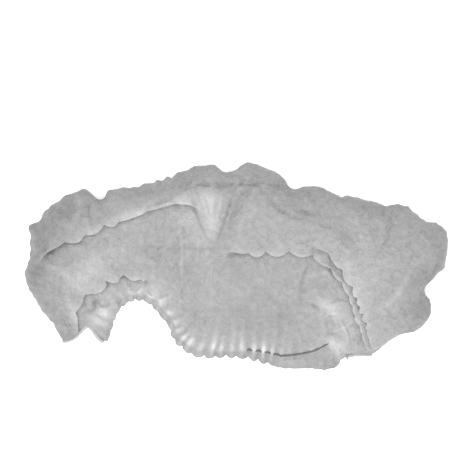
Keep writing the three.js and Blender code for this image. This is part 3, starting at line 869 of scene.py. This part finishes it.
# %% Creases
# x and y of one end, x and y of the other, bow, width, rise, and step where there is one
CREASES = [
    # fold lines of the pack
    (-50, 52, 40, 52, 1.5, 1.0, -1.4, -0.8),
    (-71, 12, -6, 12, 0, 1.1, -1.0),
    (17, 49, 45, 30, -4, 1.6, -0.9, -0.8),
    # the pucker, with its flap on the right
    (-26, 47, -19, 30, 0, 0.6, -0.9),
    (-13, 47, -17, 28, 0, 0.6, -0.9),
    (-20, 46, -18, 20, 0, 0.6, -0.7),
    (-2, 51, -16, 10, 0.5, 0.8, -1.2, 2.2),
    (3, 50, -6, 27, 0, 1.0, -0.8, 0.8),
    (-30, 49, -17, 14, -2, 1.2, -0.9, -1.2),
    (-24, 48, -18, 26, 0, 1.0, 1.2),
    (-17, 49, -16, 24, 0, 0.9, 1.2),
    (-10, 49, -14, 26, 0, 0.9, 1.0),
    (-46, 44, -37, 36, 2, 1.2, -0.9, 0.9),
    # streaks that hang from it
    (-38, 29, -37, -10, 1, 0.9, 1.2),
    (-33, 22, -31, 2, -1, 0.8, 0.8),
    (-26, 23, -27.5, 0, 0.8, 0.8, 1.0),
    (-19, 8, -23, -20, 1.5, 0.9, 1.2),
    (-16, 6, -17, -16, -1, 0.9, 0.9),
    (-8, -28, 0, -44, -1.5, 0.9, 1.2),
    (4, -34, 7, -47, -1, 0.9, 0.9),
    (-20, 18, -46, -12, -3, 1.2, 0.5),
    # soft folds of the left flap
    (-97, 43, -94, 27, -2, 1.0, -1.2, 0.9),
    (-104, 52, -112, 20, 3, 2.0, 1.0),
    (-135, 4, -100, -20, 5, 2.5, 0.9),
    (-126, 30, -98, 20, 2, 2.0, 0.8),
    (-112, -8, -104, -38, -3, 2.2, 1.0),
    # small lobes between the lower edge and the arch of the hem
    (-101, -30, -95, -22, -3.5, 1.0, -2.2, 3.2),
    (-94, -21, -84, -24, -4, 1.0, -2.2, 3.2),
    (-84, -24, -77, -20, -3, 1.0, -1.8, 2.6),
    (-73, -14, -63, -14, -4.5, 1.0, 1.9),
    (-62, -15, -53.5, -14, -5.5, 1.0, 1.9),
    (-53, -17, -47, -21, -4, 1.0, 1.6),
    (-96, -33, -88, -40, 1, 0.9, 1.2, -0.8),
    # the crumpled patch at the right of the mouth
    (48, 6, 41, -26, -2, 0.9, -1.0, -1.6),
    (42, -20, 60, -17, 2, 1.1, 1.2),
    (44, -23, 63, -29, -1, 0.9, -1.2, 0.9),
    (54, -33, 75, -39, 2, 1.0, -1.0, 1.2),
    (55, -25, 60, -50, -1, 1.2, 1.2, -1.4),
    (63, -34, 67, -50, 1, 1.0, 1.2),
    (45, -8, 60, -4, 1, 1.4, 1.0),
    (50, 0, 64, -12, 2, 1.2, 0.9, 0.6),
    (57, -45, 68, -46, 1, 0.9, -1.0, 0.8),
    (50, -24, 72, -22, -3, 0.9, 1.4, -1.2),
    (52, -37, 70, -30, 2, 0.9, 1.3, -1.2),
    (60, -44, 80, -33, -2, 0.9, 1.2, 1.2),
    (56, -28, 66, -44, 2, 0.8, -1.2, 1.0),
    (68, -36, 74, -52, 1, 0.9, 1.2, -1.0),
    # short folds over the upper hanging edge on the right
    (50, 34, 40, 38, 1, 1.2, -1.0, 1.2),
    (58, 20, 74, 6, 2, 1.1, 1.2, -1.2),
    (66, 24, 80, 8, 2, 1.2, -0.9, 1.0),
    (50, 26, 66, 18, 2, 1.0, 1.0, -1.0),
    # the thick fold over the end of the front thread
    (60, -52, 70, -61, 1, 1.3, 1.6, 0.8),
    (64, -51, 74, -59, 1, 1.1, 1.4),
    (66, -56, 72, -62, 0, 0.8, -0.9),
    # long soft folds of the right side
    (101, 38, 94, 8, 2, 1.0, -1.0, 0.9),
    (112, -5, 92, -30, 3, 2.2, 1.0),
    (126, 10, 104, -22, -3, 2.0, 0.7),
    (56, 46, 82, 22, 3, 2.0, 0.9),
    (76, 40, 88, 16, -2, 1.6, 0.7),
]
CREASE_POINTS = 20
END_SHARE = 0.02  # an end keeps a little of its height
END_POWER = 0.6
STEP_FADES_OVER = 9  # in widths
CREASE_SHEEN = 0.09  # painted light and shade: a ridge is lighter, partly as cloth pressed together, and a groove is darker as painted shade


def crease_relief(x, y, x0, y0, x1, y1, bow, width, rise, step=0):
    """Height of one crease: a ridge or groove along a bowed line, with a step across it."""
    t = np.linspace(0, 1, CREASE_POINTS)
    length = math.hypot(x1 - x0, y1 - y0)
    side_x, side_y = -(y1 - y0) / length, (x1 - x0) / length
    line_x = x0 + (x1 - x0) * t + side_x * bow * np.sin(np.pi * t)
    line_y = y0 + (y1 - y0) * t + side_y * bow * np.sin(np.pi * t)
    gap, along, across = np.full(x.shape, np.inf), np.zeros(x.shape), np.zeros(x.shape)
    for px, py, pt in zip(line_x, line_y, t):
        away = np.hypot(x - px, y - py)
        closer = away < gap
        gap = np.where(closer, away, gap)
        along = np.where(closer, pt, along)
        across = np.where(closer, (x - px) * side_x + (y - py) * side_y, across)
    end_fade = np.sin(np.pi * np.clip(along, END_SHARE, 1 - END_SHARE)) ** END_POWER
    past_end = np.sqrt(np.maximum(gap**2 - across**2, 0)) - length / CREASE_POINTS
    end_fade = end_fade * bell(np.maximum(past_end, 0), 2 * width)
    line = bell(across, width)
    edge = 0.5 * step * np.tanh(across / width) * fading(np.abs(across), STEP_FADES_OVER * width)
    return (rise * line + edge) * end_fade, rise * line * end_fade


relief = 0 * x
for row in CREASES:
    height, mark = crease_relief(x, y, *row)
    relief += height
    packing_and_painted_light = packing_and_painted_light + CREASE_SHEEN * mark
print(len(CREASES), "creases, up to", tenths(np.abs(relief).max()), "mm")

# %% Slack
SLACK = ((40.0, 1.6), (18.0, 0.9), (8.0, 0.35))  # pitch and height
CRUMPLES = ((20.0, 1.5), (10.0, 0.8), (5.0, 0.4))
SLANT_X = 0.4
SLANT_Y = 0.3
HEM_EDGE = 1  # beside the thread nothing moves
SLACK_GROWS_OVER = 10
CREASES_GROW_OVER = 3
WELD_EDGE = 1.5

slack = sum(
    rise * soft_noise(x, y, pitch, SEED["slack"] + k) for k, (pitch, rise) in enumerate(SLACK)
)
crumple = sum(
    rise * ridges(x + SLANT_X * y, y - SLANT_Y * x, pitch, SEED["crumples"] + k)
    for k, (pitch, rise) in enumerate(CRUMPLES)
)
upper_side = np.where(in_part("rim"), np.clip(z / s["loft"], 0, 1) ** 2, 1)
upper_side = upper_side * ~in_part("back_layer", "back_flat", "back_rise", "back_hem", "back_frill")
off_hem = smoothstep((inward + outward - HEM_EDGE) / SLACK_GROWS_OVER)
off_thread = smoothstep((inward + outward - HEM_EDGE) / CREASES_GROW_OVER)
off_weld = smoothstep(from_end / WELD_EDGE)
z = z + (relief * off_thread + (slack + crumple) * off_hem) * upper_side * off_weld
z = np.maximum(z, FLOOR_GAP)
print("upper side of the cloth rises to", tenths(z.max()), "mm")

# %% [markdown]
# ## Where the cloth is whiter
#
# Thin spunbond is greyish where it is one open layer and near white where it is bunched up. The
# pucker, the patch at the right of the mouth and the bent edges of the pleats are whiter, partly
# bunched and partly painted light, and the greyer patches are partly painted shade. The smoother
# the cloth is pulled, the fewer fine crumples it has: that is kept as `rumple`.

# %% Packing and painted light
# x, y, half length, half width, angle in degrees, amount
PATCHES = [
    # whiter places: partly bunched cloth, partly painted light
    (-19, 42, 9, 7, 95, 0.28),
    (-17, 30, 8, 5, 80, 0.15),
    (-19, 20, 14, 8, 90, 0.06),
    (-36, 43, 12, 3, 12, 0.1),
    (-70, 33, 26, 5, 26, 0.1),
    (-22, 6, 18, 12, 90, 0.04),
    (-92, -34, 9, 5, 50, 0.26),
    (-102, -6, 13, 9, 50, 0.14),
    (-84, 6, 14, 8, 20, 0.06),
    (62, -29, 9, 6, -20, 0.34),
    (56, -24, 7, 3, -20, 0.12),
    (71, -42, 10, 4, -60, 0.12),
    (65, -54, 8, 3.5, -50, 0.3),
    (58, 12, 12, 6, -50, 0.12),
    (75, -8, 16, 8, -60, 0.06),
    (70, 0, 5, 5, 0, 0.14),
    (78, -14, 10, 7, -50, 0.05),
    (12, 30, 18, 12, 0, 0.07),
    (24, 6, 26, 3, 0, 0.07),
    (-45, -36, 14, 5, -50, 0.06),
    (-36, 35, 16, 7, 25, 0.12),
    (-88, -18, 14, 8, 100, 0.08),
    (-66, -14, 10, 6, 0, 0.1),
    (-78, 10, 14, 8, 20, 0.06),
    (5, 64, 40, 5, 0, 0.07),
    (38, 14, 14, 12, 0, 0.08),
    (90, -2, 22, 16, 90, 0.07),
    (75, -42, 22, 9, 90, 0.08),
    (108, 34, 12, 7, -20, 0.06),
    (-54, 55, 8, 4, 10, 0.1),
    (30, 57, 8, 4, 0, 0.1),
    (-31, 33, 9, 6, 90, 0.07),
    (-54, -22, 7, 7, 0, 0.08),
    (63, -60, 10, 3, -20, 0.06),
    (-34, 29, 8, 3, 10, 0.1),
    (-19, 22, 6, 5, 0, 0.08),
    (-102, -10, 8, 6, 90, 0.08),
    (42, -7, 6, 10, 0, 0.07),
    (-28, 26, 14, 6, 60, 0.04),
    (70, -42, 10, 5, 60, 0.05),
    (80, 15, 8, 7, 0, 0.05),
    # greyer places: partly thinner cloth pulled smooth, partly painted shade
    (-128, 12, 30, 12, 90, -0.09),
    (-138, -8, 14, 8, 90, -0.08),
    (-108, 28, 16, 10, 60, -0.06),
    (130, -6, 14, 10, 90, -0.06),
    (14, -38, 26, 14, 0, -0.06),
    (18, -48, 9, 4, 0, -0.07),
    (-18, 49, 7, 3, 0, -0.1),
    (-3, 31, 16, 4, 70, -0.1),
    (12, 47, 14, 4, 0, -0.05),
    (116, -8, 9, 12, 90, -0.1),
    (115, -34, 20, 7, 80, -0.07),
    (54, 15, 7, 7, 0, -0.05),
    (-114, -38, 16, 8, 110, -0.06),
    (-132, -6, 8, 8, 0, -0.06),
    (-112, 34, 9, 9, 0, -0.05),
]


def patch(x, y, cx, cy, half_length, half_width, angle, amount):
    turn = math.radians(angle)
    u = (x - cx) * math.cos(turn) + (y - cy) * math.sin(turn)
    v = (y - cy) * math.cos(turn) - (x - cx) * math.sin(turn)
    return amount * np.exp(-((u / half_length) ** 2) - (v / half_width) ** 2)


BASE_PACKING = 0.22
CLOUDS = 0.03
CLOUD_PITCH = 16
FLAT_PATCH = (8, -25, 34, 32, 0, 0.75)  # the middle of the front is the smoothest cloth
RUMPLE_SPREAD = 0.3
RUMPLE_PITCH = 14
RUMPLE_LIMITS = (0.1, 1.3)

clouds = CLOUDS * soft_noise(x, y, CLOUD_PITCH, SEED["clouds"])
packing_and_painted_light = packing_and_painted_light + upper_side * sum(patch(x, y, *row) for row in PATCHES)
packing_and_painted_light = np.clip(BASE_PACKING + packing_and_painted_light + clouds, 0, 1)
rumple = RUMPLE_SPREAD * soft_noise(x, y, RUMPLE_PITCH, SEED["rumple"])
rumple = np.clip(1 - patch(x, y, *FLAT_PATCH) + rumple, *RUMPLE_LIMITS)
print("mean packing", round(float(packing_and_painted_light.mean()), 2))

# %% [markdown]
# ## The cloth's mesh
#
# The grid of points becomes a sheet of quads, and Solidify gives it a thin wall. The packing,
# with the light and shade painted into it, and the rumple are stored as attributes of the points,
# for the material to read.

# %% Cloth mesh
CLOTH_THICKNESS = 0.25 * MM


def grid_faces(rows, columns):
    first = (np.arange(rows - 1)[:, None] * columns + np.arange(columns - 1)[None, :]).ravel()
    return np.stack([first, first + columns, first + columns + 1, first + 1], axis=1)


def smooth_shading(mesh):
    mesh.polygons.foreach_set("use_smooth", [True] * len(mesh.polygons))


points = np.stack([x, y, z], axis=-1).reshape(-1, 3) * MM
cloth_mesh = bpy.data.meshes.new("cap_cloth")
cloth_mesh.from_pydata(points.tolist(), [], grid_faces(*d.shape).tolist())
for label, values in (("packing_and_painted_light", packing_and_painted_light), ("rumple", rumple)):
    layer = cloth_mesh.attributes.new(label, "FLOAT", "POINT")
    layer.data.foreach_set("value", values.astype(np.float32).ravel())
smooth_shading(cloth_mesh)
cloth_mesh.update()
cloth = placed_object("cap_cloth", cloth_mesh)
thick = cloth.modifiers.new("wall", "SOLIDIFY")
thick.thickness = CLOTH_THICKNESS
thick.offset = 0
print("cloth has", 4 * len(cloth.data.polygons), "triangles with its wall")

# %% [markdown]
# ## Building node trees
#
# The threads, the welds and the finishes are small node trees, and the same few helpers build all
# of them: a tree with named sockets, a node with its settings, a chain of nodes, and single links.

# %% Node helpers
SOCKET_TYPES = {float: "Float", int: "Int", tuple: "Vector"}


def node_tree(kind, name, inputs, outputs):
    """A tree with named sockets, and its input and output nodes.

    A socket's type is that of its value, and "Geometry" and "Material" stand for themselves.
    """
    tree = bpy.data.node_groups.new(name, kind)
    for in_out, sockets in (("INPUT", inputs), ("OUTPUT", outputs)):
        for label, value in sockets.items():
            socket = SOCKET_TYPES.get(type(value), value)
            kind_of = "NodeSocket" + socket
            made = tree.interface.new_socket(label, in_out=in_out, socket_type=kind_of)
            if socket != value:
                made.default_value = value
    return tree, tree.nodes.new("NodeGroupInput"), tree.nodes.new("NodeGroupOutput")


def geometry_tree(name, inputs):
    """A node tree that takes a geometry and a material beside the named inputs."""
    inputs = {"Geometry": "Geometry", **inputs, "Material": "Material"}
    return node_tree("GeometryNodeTree", name, inputs, {"Geometry": "Geometry"})


def add_node(tree, kind, inputs=None, **settings):
    made = tree.nodes.new(kind)
    for key, value in settings.items():
        setattr(made, key, value)
    for key, value in (inputs or {}).items():
        made.inputs[key].default_value = value
    return made


def add_math(tree, operation, inputs=None, **settings):
    return add_node(tree, "ShaderNodeMath", inputs, operation=operation, **settings)


def wire(tree, *rows):
    """Links, each from a node's output to another node's input."""
    for source, output, target, place in rows:
        tree.links.new(source.outputs[output], target.inputs[place])


def chain(tree, *nodes):
    """Links each node's first output to the next one's first input."""
    for source, target in zip(nodes, nodes[1:]):
        tree.links.new(source.outputs[0], target.inputs[0])


def painted(tree, start, made, end):
    """Realizes what a tree made, paints it with the tree's own material, and puts it out."""
    realize = add_node(tree, "GeometryNodeRealizeInstances")
    paint = add_node(tree, "GeometryNodeSetMaterial")
    chain(tree, made, realize, paint, end)
    wire(tree, (start, "Material", paint, "Material"))


def baked(name, source, tree, inputs):
    """The plain mesh that a Geometry Nodes tree makes from an object."""
    modifier = source.modifiers.new("nodes", "NODES")
    modifier.node_group = tree
    sockets = {
        item.name: item.identifier
        for item in tree.interface.items_tree
        if item.in_out == "INPUT"
    }
    for label, value in inputs.items():
        modifier[sockets[label]] = value
    graph = bpy.context.evaluated_depsgraph_get()
    graph.update()
    mesh = bpy.data.meshes.new_from_object(source.evaluated_get(graph))
    mesh.name = name
    bpy.data.objects.remove(source, do_unlink=True)
    smooth_shading(mesh)
    return placed_object(name, mesh)


def path_object(name, points):
    data = bpy.data.curves.new(name, "CURVE")
    data.dimensions = "3D"
    spline = data.splines.new("POLY")
    spline.points.add(len(points) - 1)
    for place, point in zip(spline.points, points):
        place.co = (*point, 1)
    return placed_object(name, data)


# %% [markdown]
# ## The elastic threads
#
# Each thread is a bundle of rubber wound with dark yarn. It runs along the pinched line of its hem.
# Most of the front thread lies under the cloth. Towards the right it comes up between the gathers,
# first as dashes, then as one line. Geometry Nodes sweep a small round section along the path and
# swell it a little at each winding of the yarn.

# %% Thread nodes
THREAD_RADIUS = 0.55 * MM
THREAD_RIB = 0.9 * MM
THREAD_STEP = 0.3 * MM
THREAD_SIDES = 8
RIB_SWELL = 0.08  # share of the radius


def thread_tree():
    inputs = {"Radius": THREAD_RADIUS, "Rib": THREAD_RIB, "Step": THREAD_STEP}
    tree, start, end = geometry_tree("wound_thread", inputs)
    resample = add_node(tree, "GeometryNodeResampleCurve", mode="LENGTH")
    along = add_node(tree, "GeometryNodeSplineParameter")
    turns = add_math(tree, "DIVIDE")
    angle = add_math(tree, "MULTIPLY", {1: math.tau})
    wave = add_math(tree, "SINE")
    scale = add_math(tree, "MULTIPLY_ADD", {1: RIB_SWELL, 2: 1.0})
    radius = add_math(tree, "MULTIPLY")
    set_radius = add_node(tree, "GeometryNodeSetCurveRadius")
    circle = add_node(
        tree, "GeometryNodeCurvePrimitiveCircle", {"Resolution": THREAD_SIDES, "Radius": 1.0}
    )
    sweep = add_node(tree, "GeometryNodeCurveToMesh", {"Fill Caps": True})
    chain(tree, start, resample, set_radius, sweep)
    chain(tree, turns, angle, wave, scale, radius)
    wire(
        tree,
        (start, "Step", resample, "Length"),
        (along, "Length", turns, 0),
        (start, "Rib", turns, 1),
        (start, "Radius", radius, 1),
        (radius, 0, set_radius, "Radius"),
        (circle, "Curve", sweep, "Profile Curve"),
        (radius, 0, sweep, "Scale"),
    )
    painted(tree, start, sweep, end)
    return tree


thread_nodes = thread_tree()
print("thread tree has", len(thread_nodes.nodes), "nodes")

# %% [markdown]
# ## Finishes
#
# Spunbond is a web of fine fibres, melted together at a close grid of tiny dots. From arm's length
# that reads as a faint cloudy mottle with a fine tooth. The web is a node group, so that the cloth
# and the welded ends share it with their own values.

# %% Web group
MOTTLE_MIX = 0.45  # share of the fine fibres in the mottle, the rest is clouds
DOT_ORDER = 0.35
DOT_HEIGHT = 0.5
CLOUD_NOISE = {"Detail": 3, "Roughness": 0.6, "Distortion": 0.6}
FIBRE_NOISE = {"Detail": 3, "Roughness": 0.6, "Distortion": 1.5}


def web_group():
    inputs = {"Cloud size": 400.0, "Dot size": 900.0, "Rumple": 1.0}
    outputs = {"Mottle": 0.0, "Height": 0.0}
    group, start, end = node_tree("ShaderNodeTree", "spunbond_web", inputs, outputs)
    place = add_node(group, "ShaderNodeTexCoord")
    cloud = add_node(group, "ShaderNodeTexNoise", CLOUD_NOISE)
    fibres = add_node(group, "ShaderNodeTexNoise", FIBRE_NOISE)
    dots = add_node(group, "ShaderNodeTexVoronoi", {"Randomness": DOT_ORDER}, feature="F1")
    mottle = add_node(group, "ShaderNodeMix", {0: MOTTLE_MIX}, data_type="FLOAT")
    height = add_math(group, "MULTIPLY_ADD", {1: DOT_HEIGHT})
    centred = add_math(group, "SUBTRACT", {1: 0.5})
    ridged = add_math(group, "ABSOLUTE")
    rumpled = add_math(group, "MULTIPLY_ADD")
    chain(group, cloud, centred, ridged, rumpled)
    for texture in (cloud, fibres, dots):
        wire(group, (place, "Object", texture, "Vector"))
    wire(
        group,
        (start, "Cloud size", cloud, "Scale"),
        (start, "Dot size", dots, "Scale"),
        (start, "Dot size", fibres, "Scale"),
        (cloud, "Fac", mottle, 2),
        (fibres, "Fac", mottle, 3),
        (mottle, 0, end, "Mottle"),
        (dots, "Distance", height, 0),
        (fibres, "Fac", height, 2),
        (start, "Rumple", rumpled, 1),
        (height, 0, rumpled, 2),
        (rumpled, 0, end, "Height"),
    )
    return group


web = web_group()
print("web group has", len(web.nodes), "nodes")

# %% Cloth material
SPUNBOND_SHEEN = {"Specular IOR Level": 0.25, "Sheen Weight": 0.15, "Sheen Roughness": 0.5}
RUMPLE_DEPTH = -17.0  # height of the fine crumples, in fibre heights
MOTTLE_LOW = 0.3
MOTTLE_HIGH = 0.7
FIBRE_RELIEF = 0.15 * MM
COLOUR_A, COLOUR_B, COLOUR_OUT = 6, 7, 2  # places of a mix node's colour sockets


def grey(value):
    return (value, value, value, 1)


def plain_material(name, values):
    """A material, its tree and its Principled shader, with constants on the shader's sockets."""
    material = bpy.data.materials.new(name)
    material.use_nodes = True
    shader = material.node_tree.nodes["Principled BSDF"]
    for label, value in values.items():
        shader.inputs[label].default_value = value
    return material, material.node_tree, shader


def grey_mix(tree, dark, light):
    return add_node(
        tree, "ShaderNodeMix", {COLOUR_A: grey(dark), COLOUR_B: grey(light)}, data_type="RGBA"
    )


def web_material(name, thin_and_shaded_grey, bunched_and_lit_grey, roughness, cloud_size, dot_size, bump, mottle_depth):
    material, tree, shader = plain_material(name, {"Roughness": roughness, **SPUNBOND_SHEEN})
    texture = add_node(tree, "ShaderNodeGroup", node_tree=web)
    texture.inputs["Cloud size"].default_value = cloud_size
    texture.inputs["Dot size"].default_value = dot_size
    packing_and_light_map = add_node(tree, "ShaderNodeAttribute", attribute_name="packing_and_painted_light")
    rumpled = add_node(tree, "ShaderNodeAttribute", attribute_name="rumple")
    rumple_depth = add_math(tree, "MULTIPLY", {1: RUMPLE_DEPTH})
    mottle_range = {"From Min": MOTTLE_LOW, "From Max": MOTTLE_HIGH}
    mottle_range.update({"To Min": -mottle_depth, "To Max": mottle_depth})
    shade = add_node(tree, "ShaderNodeMapRange", mottle_range)
    total = add_math(tree, "ADD", use_clamp=True)
    # the packing attribute, with its painted light and shade, sets the grey between these two
    colour = grey_mix(tree, thin_and_shaded_grey, bunched_and_lit_grey)
    relief = add_node(tree, "ShaderNodeBump", {"Strength": bump, "Distance": FIBRE_RELIEF})
    wire(
        tree,
        (rumpled, "Fac", rumple_depth, 0),
        (rumple_depth, 0, texture, "Rumple"),
        (texture, "Mottle", shade, "Value"),
        (packing_and_light_map, "Fac", total, 0),
        (shade, "Result", total, 1),
        (total, 0, colour, 0),
        (colour, COLOUR_OUT, shader, "Base Color"),
        (texture, "Height", relief, "Height"),
        (relief, "Normal", shader, "Normal"),
    )
    return material


cloth_finish = web_material(
    "spunbond_cloth", thin_and_shaded_grey=0.14, bunched_and_lit_grey=0.5, roughness=0.9,
    cloud_size=260.0, dot_size=800.0, bump=0.8, mottle_depth=0.14,
)
weld_finish = web_material(
    "welded_spunbond", thin_and_shaded_grey=0.3, bunched_and_lit_grey=0.5, roughness=0.6,
    cloud_size=400.0, dot_size=900.0, bump=0.4, mottle_depth=0.08,
)

# %% Thread and floor materials
YARN_GREYS = (0.06, 0.13)
YARN_SCALE = 2500
YARN_RELIEF = 0.1 * MM
YARN_BUMP = 0.4
YARN_ROUGHNESS = 0.8
FLOOR_GREY = 0.93
GLOW = 0.3  # the table is lit from below a little, so that no shadow shows on it


def thread_material():
    material, tree, shader = plain_material("wound_elastic", {"Roughness": YARN_ROUGHNESS})
    place = add_node(tree, "ShaderNodeTexCoord")
    fuzz = add_node(tree, "ShaderNodeTexNoise", {"Scale": YARN_SCALE, "Detail": 3})
    tint = grey_mix(tree, *YARN_GREYS)
    relief = add_node(tree, "ShaderNodeBump", {"Strength": YARN_BUMP, "Distance": YARN_RELIEF})
    wire(
        tree,
        (place, "Object", fuzz, "Vector"),
        (fuzz, "Fac", tint, 0),
        (tint, COLOUR_OUT, shader, "Base Color"),
        (fuzz, "Fac", relief, "Height"),
        (relief, "Normal", shader, "Normal"),
    )
    return material


thread_finish = thread_material()
floor_finish = plain_material("pale_floor", {
    "Base Color": grey(FLOOR_GREY),
    "Roughness": 1.0,
    "Emission Color": grey(1.0),
    "Emission Strength": GLOW,
})[0]
floor.data.materials.append(floor_finish)
cloth.data.materials.append(cloth_finish)
print("finishes:", [m.name for m in bpy.data.materials if m.users])

# %% Front and back thread
HIDDEN = -3.0  # the front thread's height over the hem line where the cloth covers it
SHOWN = 1.0
LEAST_HEIGHT = 0.75
THREAD_SHIFT = 1.0  # where it shows, it has slipped inwards
DASH_SHARPNESS = 4.0
DASHES_FROM = (2, 9, 28, 34)  # hem x, in millimetres
DASH_SHARES = (-0.5, 0.8, 0.9, 1.5)  # how much of each gather lets the thread show there
GOES_UNDER_FROM = 59.0
GOES_UNDER_OVER = 4


def thread(name, path_x, path_y, path_z):
    path = np.stack([path_x, path_y, path_z], axis=1) * MM
    return baked(name, path_object(name + "_path", path), thread_nodes, {"Material": thread_finish})


hem_x, hem_y, hem_z = (s[name][:, 0] for name in ("hem_x", "hem_y", "hem_z"))
coming = np.interp(hem_x, DASHES_FROM, DASH_SHARES)
coming = smoothstep(DASH_SHARPNESS * (coming - lobes(gather_turns[:, 0])) + 0.5)
going = smoothstep((hem_x - GOES_UNDER_FROM) / GOES_UNDER_OVER)
thread_z = hem_z + HIDDEN + (SHOWN - HIDDEN) * coming * (1 - going)
front_x, front_y = tugged(hem_x, hem_y + THREAD_SHIFT * coming)
front_thread = thread(
    "front_thread", front_x, front_y, np.maximum(thread_z * squash[:, 0], LEAST_HEIGHT)
)
back_x, back_y = tugged(*plan(BACK_INSET + 0 * s["place"]))
back_thread = thread("back_thread", back_x[:, 0], back_y[:, 0], 0 * hem_z + LEAST_HEIGHT)
print("front thread has", len(front_thread.data.polygons), "faces")
print("back thread has", len(back_thread.data.polygons), "faces")

# %% [markdown]
# ## The welded ends
#
# At each end, all the layers of the pleated strip are melted into one thin stack by a ribbed jaw.
# The jaw leaves a row of small round ribs, so Geometry Nodes set one rib after another along the
# end of the cloth, each a little different in height.

# %% Weld nodes
RIB_PITCH = 1.3 * MM
RIB_LENGTH = 1.5 * MM  # half sizes: they scale a ball of radius 1
RIB_WIDTH = 1.5 * MM
RIB_HEIGHT = 1.4 * MM
UNEVEN = 0.3
BALL = {"Segments": 14, "Rings": 10, "Radius": 1.0}
RANDOM_LOW, RANDOM_HIGH, RANDOM_OUT = 2, 3, 1  # places of a random node's float sockets


def crimp_tree():
    size = (RIB_LENGTH, RIB_WIDTH, RIB_HEIGHT)
    inputs = {"Pitch": RIB_PITCH, "Uneven": UNEVEN, "Rib": size, "Seed": 1}
    tree, start, end = geometry_tree("crimped_weld", inputs)
    spaced = add_node(tree, "GeometryNodeCurveToPoints", mode="LENGTH")
    rib = add_node(tree, "GeometryNodeMeshUVSphere", BALL)
    tangent = add_node(tree, "GeometryNodeInputTangent")
    kept = add_node(tree, "GeometryNodeCaptureAttribute")
    kept.capture_items.new("VECTOR", "Tangent")
    turned = add_node(tree, "FunctionNodeAlignRotationToVector", axis="X", pivot_axis="Z")
    low = add_math(tree, "SUBTRACT", {0: 1.0})
    luck = add_node(tree, "FunctionNodeRandomValue", {RANDOM_HIGH: 1.0}, data_type="FLOAT")
    scaled = add_node(tree, "ShaderNodeVectorMath", operation="SCALE")
    placed = add_node(tree, "GeometryNodeInstanceOnPoints")
    chain(tree, start, kept, spaced, placed)
    wire(
        tree,
        (tangent, 0, kept, "Tangent"),
        (start, "Pitch", spaced, "Length"),
        (kept, "Tangent", turned, "Vector"),
        (start, "Uneven", low, 1),
        (low, 0, luck, RANDOM_LOW),
        (start, "Seed", luck, "Seed"),
        (start, "Rib", scaled, 0),
        (luck, RANDOM_OUT, scaled, "Scale"),
        (rib, "Mesh", placed, "Instance"),
        (turned, "Rotation", placed, "Rotation"),
        (scaled, "Vector", placed, "Scale"),
    )
    painted(tree, start, placed, end)
    return tree


crimp_nodes = crimp_tree()
print("crimp tree has", len(crimp_nodes.nodes), "nodes")

# %% Welds
WELD_POINTS = 60
WELD_OUTSIDE = 0.6  # from the end of the cloth to the middle of the ribs
WELD_LIFT = 0.1
WELD_TRIM = 0.02  # share of the section left free at the hem and at the rim


def weld(name, station, outward, seed):
    """A row of ribs along one end section."""
    share = np.linspace(WELD_TRIM, 1 - WELD_TRIM, WELD_POINTS)[None, :]
    end_x, end_y = (values[station] for values in tugged(*plan(share * s["reach"])))
    along_x, along_y = np.gradient(end_x), np.gradient(end_y)
    size = np.hypot(along_x, along_y) * outward / WELD_OUTSIDE
    height = 0 * end_x + RIB_HEIGHT / MM + WELD_LIFT
    path = np.stack([end_x + along_y / size, end_y - along_x / size, height], axis=1) * MM
    values = {"Material": weld_finish, "Seed": seed}
    return baked(name, path_object(name + "_path", path), crimp_nodes, values)


left_weld = weld("left_weld", 0, -1, SEED["left_weld"])
right_weld = weld("right_weld", STATIONS - 1, 1, SEED["right_weld"])
print("left weld has", len(left_weld.data.polygons), "faces")
print("right weld has", len(right_weld.data.polygons), "faces")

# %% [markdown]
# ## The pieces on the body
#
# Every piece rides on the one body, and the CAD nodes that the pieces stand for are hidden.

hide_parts("crown", "front_ruffle", "back_ruffle")
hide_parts("front_elastic")
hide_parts("back_elastic")
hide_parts("left_end_seal")
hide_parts("right_end_seal")
for piece, slot in (
    (cloth, "nonwoven"),
    (front_thread, "elastic"),
    (back_thread, "elastic"),
    (left_weld, "welded_cloth"),
    (right_weld, "welded_cloth"),
):
    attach(piece, "root")
